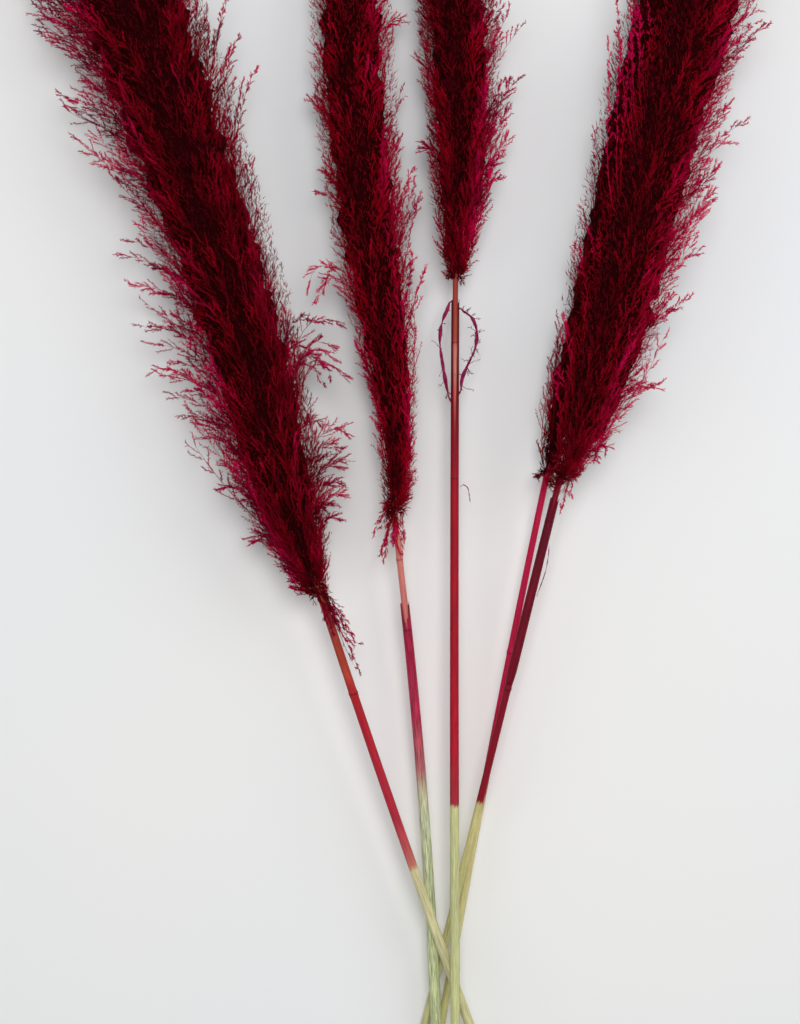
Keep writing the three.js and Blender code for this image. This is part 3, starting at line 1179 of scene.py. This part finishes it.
class Plume:
    """One plume: its rachis, branches, twigs, florets and the down between them."""

    def __init__(self, habit: PlumeHabit) -> None:
        """Reads the plume's outline off its solid.

        Args:
            habit: How it grows.
        """
        self.habit = habit
        self.node = f"{habit.stem}_plume"
        self.random = np.random.default_rng(habit.seed)
        low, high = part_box(self.node)
        cuts = Cuts.through(self.node, Axis.Y, 60, 4 * MM)
        self.line = Line.fitted(cuts, 5, low[1], high[1])
        self.cut_along = self.line.along_at(cuts.at)
        lean = self.line.ahead(self.cut_along)
        self.cut_half_width = (cuts.high[:, 0] - cuts.low[:, 0]) / 2 * lean[:, 1]
        self.cut_half_height = (cuts.high[:, 2] - cuts.low[:, 2]) / 2

    def half_width(self, along: np.ndarray) -> np.ndarray:
        """The outline's half width at a distance along the rachis."""
        return np.interp(along, self.cut_along, self.cut_half_width)

    def half_height(self, along: np.ndarray) -> np.ndarray:
        """The outline's half height at a distance along the rachis."""
        return np.interp(along, self.cut_along, self.cut_half_height)

    def off_rachis(self, points: np.ndarray, least: float) -> tuple[np.ndarray, np.ndarray]:
        """How far points are to the right and above, as shares of the half width and half height.

        Args:
            points: Points in the frame, (n, 3).
            least: The least half width and half height to measure by.

        Returns:
            The shares to the right and above.
        """
        along = self.line.along_at(points[:, 1])
        off = points - self.line.at(along)
        beside = unit(np.cross(self.line.ahead(along), UP))
        right = (off * beside).sum(-1) / np.maximum(self.half_width(along), least)
        above = off[:, 2] / np.maximum(self.half_height(along), least)
        return right, above

    def depth(self, points: np.ndarray) -> np.ndarray:
        """How far out points are, as a height on the colour map, which sets the painted shade and
        light.

        With r = right / half width and a = above / half height, the depth is
        (0.62 + 0.38 min(|r + 0.2| / 0.7, 1)) sqrt(r^2 + a^2) / 1.5, so it is darkest left of its
        middle, a band of painted shade. Round the plume's foot 0.1 is added, and 0.32 where florets
        hang below it, so that they are nearly as bright as the fringe's painted light.

        Args:
            points: Points in the frame, (n, 3).

        Returns:
            The depths, 0 at the rachis and 0.67 at the outline's sides, up to 1.
        """
        right, above = self.off_rachis(points, 16 * MM)
        # a band of painted shade, darkest a little left of the rachis
        middle = 0.62 + 0.38 * np.minimum(np.abs(right + 0.2) / 0.7, 1)
        foot_y = self.line.points[0, 1]
        # the foot, and the florets hanging below it, are lifted towards the fringe's painted light
        foot = (1 - (points[:, 1] - foot_y) / (0.07 * self.line.length)).clip(0, 1)
        hanging = ((foot_y + 6 * MM - points[:, 1]) / (12 * MM)).clip(0, 1)
        return (middle * np.hypot(right, above) / 1.5 + 0.1 * foot + 0.32 * hanging).clip(0, 1)

    def lobes(self, points: np.ndarray) -> np.ndarray:
        """Brighter and duller patches, as a tone from 0 to 1.

        A sum of six waves lies across the plume, each one
        sin(2 pi (along cos b + right sin b) / wave + phase).

        Args:
            points: Points in the frame, (n, 3).

        Returns:
            The tone at each.
        """
        random = np.random.default_rng(self.habit.seed)
        along = self.line.along_at(points[:, 1])
        beside = points[:, 0] - self.line.at(along)[:, 0]
        total = np.zeros(len(points))
        for _ in range(6):
            wave, bearing = random.uniform(20, 70) * MM, random.uniform(-1.1, 1.1)
            phase = random.uniform(0, TURN)
            run = along * np.cos(bearing) + beside * np.sin(bearing)
            total += np.sin(TURN * run / wave + phase)
        return (0.5 + 0.2 * total).clip(0, 1)

    def branch_paths(
        self,
        leaves: np.ndarray,
        ends: np.ndarray,
        right: np.ndarray,
        above: np.ndarray,
        bend: np.ndarray,
        arch: np.ndarray,
    ) -> np.ndarray:
        """Branches that rise off the rachis to their tips.

        At a share u of its way, a branch is leaves + (ends - leaves) u + 4 arch u (1 - u) along the
        rachis, and u^bend of its tip's distance off it, with a slow waver.

        Args:
            leaves: Where each leaves the rachis, as a share of the length.
            ends: How far along its tip is, as a share of the length.
            right: Its tip's distance to the right.
            above: Its tip's distance above.
            bend: The power in the formula.
            arch: How far it rises and falls back.

        Returns:
            Paths, (n, stations, 3), no lower than the least height.
        """
        count = len(leaves)
        share = np.linspace(0, 1, 10)[None]
        along = leaves[:, None] + (ends - leaves)[:, None] * share
        along = (along + 4 * arch[:, None] * share * (1 - share)) * self.line.length
        out = share ** bend[:, None]
        phase = self.random.uniform(0, TURN, (2, count, 1))
        waver = 1.6 * MM * share * np.sin(phase[0] + 5 * share)
        right = right.clip(-BRANCH_REACH, BRANCH_REACH)[:, None] * out + waver
        above = above[:, None] * out + waver * np.cos(phase[1])
        paths = self.line.place(along, right, above)
        floor = LEAST_HEIGHT + self.random.uniform(0, 2.5 * MM, (count, 1))
        paths[..., 2] = np.maximum(paths[..., 2], floor)
        return paths

    def tips_by_area(self, count: int) -> np.ndarray:
        """Places along the plume for branch tips, as shares of its length.

        The chance of a place goes with the outline's half width there, plus a little at the ends.

        Args:
            count: How many.

        Returns:
            The shares, from 0.02 to 1.
        """
        share = np.linspace(0.02, 1, 200)
        weight = self.half_width(share * self.line.length) + 6 * MM
        total = np.cumsum(weight)
        even = (np.arange(count) + self.random.uniform(0, 1, count)) / count
        return np.interp(even, (total - total[0]) / (total[-1] - total[0]), share)

    def grown_branches(self) -> Branches:
        """The branches that fill the outline.

        Returns:
            The branches, spread round the rachis and thicker on its upper side.
        """
        habit, random = self.habit, self.random
        count = habit.branches
        ends = self.tips_by_area(count)
        reach = habit.branch_share * (1 - 0.45 * ends) * random.uniform(0.55, 1.15, count)
        leaves = np.maximum(ends - reach, random.uniform(0, 0.03, count))
        ends = np.maximum(ends, leaves + 0.02)
        across = random.uniform(-1, 1, count)
        across = np.sign(across) * np.abs(across) ** 0.66
        side = np.where(random.uniform(0, 1, count) < 0.72, 1, -1)
        out = habit.fill * random.uniform(0.85, 1.05, count)
        nodding = across * np.sign(habit.nod) > 0.25
        loose = random.uniform(0, 1, count) < np.where(nodding, 0.42, 0.12)
        further = random.uniform(1.05, np.where(nodding, habit.wisp, 1.25), count)
        out = np.where(loose, out * further, out)
        at = ends * self.line.length
        width, height = self.half_width(at), self.half_height(at)
        away = np.where(across * np.sign(habit.nod) < 0, habit.away, 1)
        out = out * np.minimum(1, 0.62 + 3.2 * ends)
        right = out * width * (across * away + habit.nod * random.uniform(0, 1, count))
        above = out * height * side * np.sqrt(1 - across**2) * random.uniform(0.55, 1, count)
        bend = random.uniform(0.45, 0.85, count)
        paths = self.branch_paths(leaves, ends, right, above, bend, 0 * bend)
        tones, radii = random.uniform(0, 1, count), random.uniform(0.4, 0.6, count) * MM
        lengths = habit.twig_length * random.uniform(0.75, 1.2, count) * (1 - 0.3 * ends)
        lengths = lengths * np.minimum(1, 0.4 + 4 * ends)
        return Branches(paths, tones, radii, lengths, habit.twigs, habit.florets)

    def sprayed_branches(self) -> list[Branches]:
        """The long branches that stand clear, each with its own number of twigs."""
        found, random, short_twig = [], self.random, 13
        for spray in self.habit.sprays:
            start, size = random.uniform(-0.022, 0.022, 3), np.array([1, 0.86, 0.72])
            size = size * random.uniform(0.92, 1.04, 3)
            start[0] = 0
            leaves, ends = np.maximum(spray.leaves + start, 0.004), spray.ends + start * 1.3
            above = spray.above * MM * size + random.normal(0, 3 * MM, 3)
            bend, arch = np.full(3, spray.bend), np.full(3, spray.arch)
            paths = self.branch_paths(leaves, ends, spray.right * MM * size, above, bend, arch)
            florets = 11 if spray.twig_length < short_twig else self.habit.florets
            tones = random.uniform(0.35, 0.85, 3)
            lengths = spray.twig_length * MM * size * random.uniform(0.85, 1.1, 3)
            radii = np.full(3, 0.45 * MM)
            found.append(Branches(paths, tones, radii, lengths, spray.twigs, florets))
        return found

    def skirt_branches(self) -> Branches:
        """Short branches round the foot of the plume, which hide where the others start."""
        random, count = self.random, self.habit.skirt
        leaves, ends = random.uniform(0, 0.01, count), random.uniform(0.0, 0.08, count)
        azimuth = random.uniform(-np.pi, np.pi, count)
        foot_width = self.half_width(np.array(0.05 * self.line.length))
        out = random.uniform(0.3, 0.8, count) * min(foot_width, 14 * MM)
        right, above = out * np.cos(azimuth), out * np.sin(azimuth)
        bend, arch = random.uniform(0.8, 1.3, count), random.uniform(0, 0.01, count)
        paths = self.branch_paths(leaves, ends, right, above, bend, arch)
        tones, lengths = random.uniform(0.05, 0.65, count), random.uniform(6, 10, count) * MM
        return Branches(paths, tones, np.full(count, 0.4 * MM), lengths, twigs=9, florets=12)

    def twigs_on(self, branches: Branches) -> Twigs:
        """Twigs along branches, leaning out and then forward.

        Args:
            branches: What they grow on.

        Returns:
            The twigs of all the branches.
        """
        random, count = self.random, branches.twigs
        number, stations = branches.paths.shape[:2]
        step = (np.arange(count) + random.uniform(0, 1, (number, count))) / count
        share = 0.1 + 0.9 * step
        spot = share * (stations - 1)
        before = np.minimum(spot.astype(int), stations - 2)
        row = np.arange(number)[:, None]
        start, end = branches.paths[row, before], branches.paths[row, before + 1]
        bases = start + (end - start) * (spot - before)[..., None]
        ahead = unit(end - start)
        size = (number, count)
        lean = np.radians(random.uniform(*self.habit.twig_lean, size))
        first = leaning(ahead, lean, random.uniform(0, TURN, size))
        droop = np.array([0, 0, -0.12])
        last = unit(0.6 * first + 0.4 * ahead + droop + random.normal(0, 0.13, (*size, 3)))
        lengths = branches.twig_lengths[:, None] * random.uniform(0.55, 1.25, size)
        lengths = lengths * (1 - 0.5 * share)
        tones = branches.tones[:, None] + random.normal(0, 0.12, size)
        starts = [vectors.reshape(-1, 3) for vectors in (bases, first, last)]
        return Twigs(*starts, lengths.ravel(), tones.ravel())

    def twig_strands(self, twigs: Twigs) -> Shape:
        """The twigs themselves, as thin strands.

        Args:
            twigs: Their curves.

        Returns:
            The strands as one shape.
        """
        share = np.broadcast_to(np.linspace(0, 1, 4), (len(twigs.bases), 4))
        paths = twigs.at(share)
        paths[..., 2] = np.maximum(paths[..., 2], LEAST_HEIGHT)
        radii = np.broadcast_to(np.array([0.2, 0.17, 0.13, 0.0]) * MM, share.shape)
        depth = self.depth(paths[:, 1])
        # set lower on the depth ramp than where they are, so more of its painted shade falls on
        # them
        places = np.stack([twigs.tones.clip(0, 1), depth * 0.9], -1)
        return strands(paths, radii, places)

    def florets_on(self, twigs: Twigs, count: int) -> Florets:
        """The florets on twigs.

        Args:
            twigs: What they grow on.
            count: How many on each.

        Returns:
            The florets.
        """
        random, habit, number = self.random, self.habit, len(twigs.bases)
        share = 0.1 + 0.92 * (np.arange(count) + random.uniform(0, 1, (number, count))) / count
        bases, ahead = twigs.at(share).reshape(-1, 3), twigs.ahead(share).reshape(-1, 3)
        size = number * count
        lean = np.radians(random.uniform(*habit.floret_lean, size))
        directions = leaning(ahead, lean, random.uniform(0, TURN, size))
        lengths = random.normal(*habit.floret_length, size).clip(*habit.floret_lengths) * MM
        widths = random.uniform(*habit.floret_width, size) * MM
        widths = widths * np.interp(self.depth(bases), [0.45, 0.75], [1, 1.25])
        tones = np.repeat(twigs.tones, count) + random.normal(0, 0.1, size)
        return self.lifted(bases, directions, lengths, widths, tones)

    def lifted(
        self,
        bases: np.ndarray,
        directions: np.ndarray,
        lengths: np.ndarray,
        widths: np.ndarray,
        tones: np.ndarray,
        sunk: float = 0.0,
    ) -> Florets:
        """Florets, each lifted whole if any of it would be below the least height.

        Args:
            bases: Where each starts.
            directions: Which way each points.
            lengths: How long each is.
            widths: How wide each is.
            tones: Its tone on the colour map.
            sunk: How much deeper on the colour map than they are they look, as added painted shade.

        Returns:
            The florets.
        """
        tips = bases + directions * lengths[:, None]
        lowest = np.minimum(bases[:, 2], tips[:, 2]) - widths / 2
        lift = np.maximum(LEAST_HEIGHT + self.random.uniform(0, 3 * MM, len(bases)) - lowest, 0)
        bases = bases + np.where(lowest < LEAST_HEIGHT, lift, 0)[:, None] * UP
        tones = 0.45 * tones + 0.55 * self.lobes(bases) + self.habit.tone
        return Florets(bases, directions, lengths, widths, tones, self.depth(bases) - sunk)

    def down(self, count: int) -> Florets:
        """Tufts of silky hair over the heart, which hide its surface, in a little more painted
        shade.

        Args:
            count: How many.

        Returns:
            The tufts, lying along the plume and a little outwards.
        """
        random, habit = self.random, self.habit
        along = self.tips_by_area(count) * 0.95 * self.line.length
        turn = random.uniform(-np.pi, np.pi, count)
        out = random.uniform(0.92, 1.55, count)
        right = (HEART_WIDE * out * np.cos(turn) + 0.5 * habit.nod) * self.half_width(along)
        above = HEART_HIGH * out * np.sin(turn) * self.half_height(along)
        bases = self.line.place(along, right, above)
        outwards = unit(bases - self.line.at(along) + 1e-9)
        outwards = self.line.ahead(along) + random.uniform(0.1, 0.9, (count, 1)) * outwards
        directions = unit(outwards + random.normal(0, 0.4, (count, 3)))
        lengths = random.uniform(*habit.tuft_length, count) * MM
        widths = random.uniform(*habit.tuft_width, count) * MM
        tones = random.uniform(0, 1, count)
        # the tufts sit 0.08 deeper on the depth ramp: extra painted shade
        return self.lifted(bases, directions, lengths, widths, tones, sunk=0.08)

    def heart(self) -> Shape:
        """The close mass of down that the branches' feet make, as a lumpy closed body in painted
        shade.

        Round the rachis at turn t, it stands at HEART_WIDE (1 + lumps) cos t of the outline's half
        width and HEART_HIGH (1 + lumps) sin t of its half height, moved half the nod to its side.
        The lumps are a sum of waves along and round the plume, and its foot rises from nothing.

        Returns:
            The body, in the darkest tones, as painted shade deep inside the plume.
        """
        around, stations = 32, 220
        share = np.linspace(0.012, 0.93, stations)
        turn = turns(around)
        lumps = self.random.normal(0, 0.04, (stations, around))
        for _ in range(9):
            waves, rounds = self.random.uniform(4, 34), self.random.integers(1, 6)
            phase = self.random.uniform(0, TURN)
            wave = np.sin(TURN * waves * share[:, None] + rounds * turn + phase)
            lumps = lumps + 0.03 * wave
        along = (share * self.line.length)[:, None] + np.zeros(around)
        rise = np.minimum(1, (share / 0.1) ** 0.7)[:, None]
        reach = (1 + lumps) * rise
        right = HEART_WIDE * reach * np.cos(turn) + 0.5 * self.habit.nod * rise
        above = HEART_HIGH * reach * self.half_height(along) * np.sin(turn)
        rings = self.line.place(along, right * self.half_width(along), above)
        rings[..., 2] = np.maximum(rings[..., 2], 2 * LEAST_HEIGHT)
        body = skin(rings, share)
        # the whole body takes the deepest colour, painted shade inside the plume
        dark = np.array([[0.3, 0.06]])
        body.quad_places = spots_at(dark, QUAD_SPOT, len(body.quads))
        body.triangle_places = spots_at(dark, TRIANGLE_SPOT, len(body.triangles))
        return body

    def build(self, finish: bpy.types.Material) -> None:
        """Makes the plume's pieces: heart, branches and twigs as one, and florets in level layers.

        Florets inside the heart are left out, and so are about half of those on the underside.

        Args:
            finish: The fluff's material.
        """
        grown = self.grown_branches()
        shapes, florets = [self.heart()], [self.down(self.habit.branches * self.habit.tufts)]
        for branches in (grown, self.skirt_branches(), *self.sprayed_branches()):
            stations = branches.paths.shape[1]
            taper = np.linspace(1, 0.25, stations)[None]
            middle = self.depth(branches.paths[:, stations // 2])
            # set lower on the depth ramp than where they are, so more of its painted shade falls on
            # them
            places = np.stack([branches.tones, middle * 0.7], -1)
            shapes.append(strands(branches.paths, branches.radii[:, None] * taper, places))
            twigs = self.twigs_on(branches)
            shapes.append(self.twig_strands(twigs))
            florets.append(self.florets_on(twigs, branches.florets))
        self.make("branches", Shape.joined(shapes), finish)
        everything = Florets.joined(florets)
        right, above = self.off_rachis(everything.bases + everything.directions * 2 * MM, 1 * MM)
        clear = np.hypot((right - 0.5 * self.habit.nod) / HEART_WIDE, above / HEART_HIGH) > 0.9
        thinned = (above < -0.35) & (self.random.uniform(0, 1, len(above)) < 0.55)
        everything = everything.some(clear & ~thinned)
        heights = everything.bases[:, 2]
        faces = np.where(everything.depths > FRINGE_DEPTH, 6, 4)
        order = np.argsort(heights)
        total = np.cumsum(faces[order])
        layers = math.ceil(total[-1] / MOST_TRIANGLES)
        layer = np.empty(len(order), int)
        layer[order] = np.minimum(total * layers // (total[-1] + 1), layers - 1)
        for number in range(layers):
            self.make(f"florets_{number + 1}", everything.some(layer == number).shape(), finish)

    def make(self, part: str, shape: Shape, finish: bpy.types.Material) -> None:
        """Makes one of the plume's pieces, which stands for its solid."""
        piece = make_piece(f"{self.node}_{part}", shape, finish)
        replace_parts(piece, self.node)


PLUMES = (
    PlumeHabit(
        "left", 11, 452, 0.17, 16, 18, 26 * MM, 0.97, -0.2, 1.66, -0.02,
        sprays=sprays(
            (0.16, 0.24, 74, 6, 0.06, 0.85, 18), (0.2, 0.3, 82, 0, 0.05, 0.85, 18),
            (0.18, 0.265, 66, 14, 0.05, 0.85, 20), (0.12, 0.185, 60, 4, 0.03, 0.85, 22, 22),
            (0.1, 0.155, 54, -8, 0.02, 0.85, 22, 22), (0.07, 0.13, 48, 2, 0.02, 0.85, 22, 22),
            (0.04, 0.09, 38, 2, 0.02, 0.85, 22, 18), (0.5, 0.64, -90, 0), (0.42, 0.55, -70, 10),
            (0.33, 0.45, -88, -5), (0.25, 0.36, -88, 5), (0.2, 0.31, -94, -5),
            (0.16, 0.27, -76, 6), (0.12, 0.215, -60, 0), (0.03, 0.095, -42, 0),
            (0.3, 0.41, -80, 4, 0.02, 0.85, 20, 22), (0.22, 0.335, -78, -4, 0.02, 0.85, 20, 22),
            (0.14, 0.245, -68, 4, 0.02, 0.85, 20, 22), (0.08, 0.155, -50, 2, 0.02, 0.85, 20, 20),
            (0.54, 0.692, 76, 5, 0.02, 0.6, 24, 10), (0.51, 0.641, 74, 0, 0.02, 0.6, 24, 10),
            (0.46, 0.598, 75, 4, 0.02, 0.6, 22, 9), (0.58, 0.731, -90, 0, 0.02, 0.85, 26, 26),
            (0.55, 0.705, -84, 6, 0.02, 0.85, 26, 26), (0.54, 0.68, -70, 8, 0.02, 0.85, 26, 26),
            (0.61, 0.75, -88, 4, 0.02, 0.85, 26, 26), (0.58, 0.725, -74, 8, 0.02, 0.85, 26, 26),
            (0.64, 0.775, -88, 4, 0.02, 0.85, 26, 26), (0.02, -0.085, 7, 6, 0, 0.85, 12, 9),
            (0.015, -0.055, 9, -4, 0, 0.85, 12, 11), (0.03, -0.04, 15, 4, 0, 0.85, 14, 12),
            (0.03, -0.018, -2, 12, 0, 0.85, 18, 9), (0.03, -0.022, 6, 11, 0, 0.85, 18, 9),
        ),
    ),
    PlumeHabit(
        "inner_left", 12, 236, 0.17, 15, 18, 21 * MM, 0.92, 0.06, 1.4, 0.44,
        sprays=sprays(
            (0.26, 0.343, -62, 10, 0.06), (0.33, 0.486, 42, 4, 0.02, 0.6, 22, 10),
            (0.27, 0.444, 49, 4, 0.02, 0.6, 22, 10), (0.2, 0.343, 43, 4, 0.02, 0.6, 22, 10),
            (0.48, 0.594, -38), (0.38, 0.47, -38), (0.62, 0.7, 42),
            (0.03, -0.012, -12, 6, 0.01, 0.85, 12, 11), (0.03, -0.02, 14, 4, 0.01, 0.85, 12, 11),
            (0.03, -0.026, -5, 10, 0, 0.85, 18, 8), (0.03, -0.022, 4, 11, 0, 0.85, 18, 8),
        ),
    ),
    PlumeHabit(
        "centre", 13, 216, 0.18, 15, 18, 21 * MM, 0.92, 0.16, 1.45, 0.16,
        sprays=sprays(
            (0.22, 0.43, 52, 8, 0.02, 1.1), (0.16, 0.346, 50, 4, 0.02, 0.85, 22),
            (0.1, 0.247, 44, 4, 0.02, 0.85, 22), (0.12, 0.29, 40, 14, 0.02, 0.85, 22),
            (0.22, 0.386, -32), (0.07, 0.18, 30, 4, 0.02, 0.85, 18), (0.15, 0.23, -32),
        ),
    ),
    PlumeHabit("right_rear", 14, 150, 0.17, 14, 13, 21 * MM, 0.92, -0.05, 1.3, 0.1),
    PlumeHabit(
        "right_front", 15, 290, 0.17, 16, 18, 23 * MM, 0.96, 0.26, 1.5, 0.3, 0.5,
        sprays=sprays(
            (0.3, 0.51, 66, 6, 0.03, 1.2, 22), (0.43, 0.64, 58, 4, 0.02, 1.2, 20),
            (0.27, 0.445, 58, 4, 0.02, 1.2, 20), (0.17, 0.335, 52, 12, 0.02, 1.2, 20),
            (0.12, 0.274, 58, 0, 0.02, 1.15, 20), (0.05, 0.165, 50, 0, 0.02, 1.1, 20),
            (0.33, 0.561, -66, 4, 0.02, 0.45, 26, 9), (0.42, 0.627, -74, 4, 0.02, 0.5, 26, 9),
            (0.46, 0.637, -58, 4, 0.02, 0.55, 24, 9), (0.17, 0.306, -45, 4, 0.02, 0.6, 20, 10),
            (0.08, 0.214, -42, 4, 0.02, 0.6, 20, 10), (0.03, 0.135, -36, 4, 0.02, 0.6, 18, 9),
            (0.03, 0, -12, 4, 0.02, 0.85, 12, 11), (0.04, 0, 13, 4, 0.02, 0.85, 12, 11),
            (0.04, 0.07, 24, 4, 0.02, 0.85, 12, 13),
        ),
    ),
)


STEMS = (
    StemHabit(
        "left",
        (
            (0, 204, 198, 146), (0.12, 216, 210, 160), (0.168, 216, 206, 158),
            (0.172, 200, 120, 104), (0.186, 190, 84, 86), (0.215, 182, 42, 60), (0.3, 178, 26, 44),
            (0.332, 176, 36, 40), (0.345, 178, 64, 46), (0.41, 160, 62, 48),
        ),
        streaks=0.34,
    ),
    StemHabit(
        "inner_left",
        (
            (0, 192, 202, 146), (0.2, 192, 204, 150), (0.25, 190, 90, 100), (0.5, 210, 128, 112),
        ),
        (
            (0, 206, 214, 156), (0.2, 214, 222, 178), (0.228, 206, 198, 164),
            (0.246, 190, 110, 112), (0.29, 188, 48, 80), (0.34, 184, 34, 72), (0.4, 168, 18, 60),
        ),
        22 * MM, 8.4 * MM,
        streaks=0.2, sheath_streaks=0.72,
    ),
    StemHabit(
        "centre",
        (
            (0, 190, 196, 140), (0.2, 190, 196, 140), (0.23, 150, 50, 50), (0.53, 168, 44, 48),
            (0.57, 190, 92, 80), (0.59, 206, 126, 114), (0.607, 206, 118, 106),
            (0.613, 170, 74, 58), (0.66, 160, 56, 48),
        ),
        (
            (0, 196, 198, 138), (0.1, 198, 200, 144), (0.2165, 202, 202, 146),
            (0.2185, 164, 44, 54), (0.27, 176, 18, 40), (0.5, 158, 8, 34), (0.56, 118, 4, 26),
            (0.6, 104, 4, 26),
        ),
        150 * MM, 6.4 * MM,
        sheath_streaks=0.3,
    ),
    StemHabit(
        "right_rear",
        (
            (0, 204, 198, 136), (0.2, 212, 200, 142), (0.225, 172, 20, 48), (0.3, 194, 16, 66),
        ),
        streaks=0.25,
    ),
    StemHabit(
        "right_front",
        (
            (0, 194, 194, 140), (0.216, 204, 194, 132), (0.2185, 140, 12, 34), (0.34, 124, 8, 34),
        ),
        (
            (0, 122, 6, 32), (0.35, 122, 6, 32), (0.46, 104, 6, 32),
        ),
        18 * MM, 5 * MM,
    ),
)
STRIPS = (
    Strip(
        "centre_curled_strip_left", Axis.Y, 3.1 * MM, 1.4 * MM, 1.6, 16, 31,
        (3.2 * MM, -6 * MM, 0.0), (5 * MM, 4 * MM, 0.0),
    ),
    Strip(
        "centre_curled_strip_right", Axis.Y, 3.2 * MM, 1.5 * MM, 1.9, 40, 32,
        (-3.2 * MM, -6 * MM, 0.0), (-5 * MM, 3 * MM, 0.0),
    ),
    Strip("centre_fibre", Axis.X, 0.9 * MM, 0.5 * MM, 1.5, 0, 33),
    Strip("right_front_fibre", Axis.Y, 0.8 * MM, 0.4 * MM, 1.5, 0, 34),
)


# ------------------------------------------------------------------ the studio


@dataclass(frozen=True)
class Studio:
    """A pale floor, soft light from large lamps and a camera that looks straight down."""

    floor_size: float = 30.0
    camera_height: float = 2.4
    seen_height: float = 0.870  # of the picture, at the bundle's mean height
    mean_height: float = 0.030
    left_of_centre_stem: float = 46.75 * MM
    above_cut_end: float = 466.7 * MM
    sensor: float = 36.0
    lamp_size: float = 1.8
    lamps: tuple[tuple[str, tuple[float, float, float], float], ...] = (
        ("overhead", (0.3, 0.8, 3.4), 64.0),
        ("right_side", (2.4, 1.2, 1.8), 28.0),
        ("left_side", (-2.4, -0.4, 1.8), 10.0),
    )  # each one's place, and its power in watts
    room_colour: Colour = (0.93, 0.965, 1.0)
    room_strength: float = 0.36

    def build(self) -> None:
        """Makes the floor, the lamps, the surroundings and the camera."""
        self.make_floor()
        for lamp in self.lamps:
            self.make_lamp(*lamp)
        world = bpy.data.worlds.new("pale_room")
        bpy.context.scene.world = world
        world.use_nodes = True
        background = world.node_tree.nodes["Background"]
        background.inputs["Color"].default_value = (*self.room_colour, 1.0)
        background.inputs["Strength"].default_value = self.room_strength
        bpy.context.scene.view_settings.view_transform = "Standard"
        self.make_camera()

    def make_floor(self) -> None:
        """A large flat floor in a pale, faintly uneven grey."""
        half = self.floor_size / 2
        mesh = bpy.data.meshes.new("floor")
        corners = [(-half, -half, 0), (half, -half, 0), (half, half, 0), (-half, half, 0)]
        mesh.from_pydata(corners, [], [(0, 1, 2, 3)])
        nodes = NodeTree("floor_paint")
        place = nodes.node("ShaderNodeTexCoord").outputs["Object"]
        stops = [(0.3, linear(233, 234, 236)), (0.7, linear(240, 238, 235))]
        shade = nodes.ramp(nodes.noise(place, 1.3, 2.0), stops)
        mesh.materials.append(nodes.surfaced(shade, Roughness=0.9, Specular_IOR_Level=0.1))
        floor = bpy.data.objects.new("floor", mesh)
        bpy.context.scene.collection.objects.link(floor)

    def make_lamp(self, name: str, place: tuple[float, float, float], power: float) -> None:
        """A large square lamp that faces the bundle.

        Args:
            name: The lamp's name.
            place: Where it stands.
            power: Its power in watts.
        """
        light = bpy.data.lights.new(name, "AREA")
        light.size = self.lamp_size
        light.energy = power
        lamp = bpy.data.objects.new(name, light)
        bpy.context.scene.collection.objects.link(lamp)
        lamp.location = place
        away = np.array(place) / np.linalg.norm(place)
        lamp.rotation_euler = (math.acos(away[2]), 0, math.atan2(away[1], away[0]) + math.pi / 2)
        lamp.visible_camera = False

    def make_camera(self) -> None:
        """A camera that looks straight down, placed by the centre stem's cut end."""
        low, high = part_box("centre_stem")
        data = bpy.data.cameras.new("camera")
        data.sensor_width = self.sensor
        data.lens = self.sensor * (self.camera_height - self.mean_height) / self.seen_height
        data.clip_end = 100
        camera = bpy.data.objects.new("camera", data)
        bpy.context.scene.collection.objects.link(camera)
        camera.location = (
            (low[0] + high[0]) / 2 - self.left_of_centre_stem,
            low[1] + self.above_cut_end,
            self.camera_height,
        )
        bpy.context.scene.camera = camera


def main() -> None:
    """Builds the studio and every piece, in order."""
    logging.basicConfig(level=logging.INFO, format="%(message)s")
    Studio().build()
    for habit in STEMS:
        Stem(habit).build()
    strip = StripFinish("dried_leaf", linear(92, 2, 42), linear(168, 14, 84)).build()
    for dried in STRIPS:
        dried.build(strip)
    fluff = FluffFinish().build()
    for habit in PLUMES:
        Plume(habit).build(fluff)


if __name__ == "__main__":
    main()
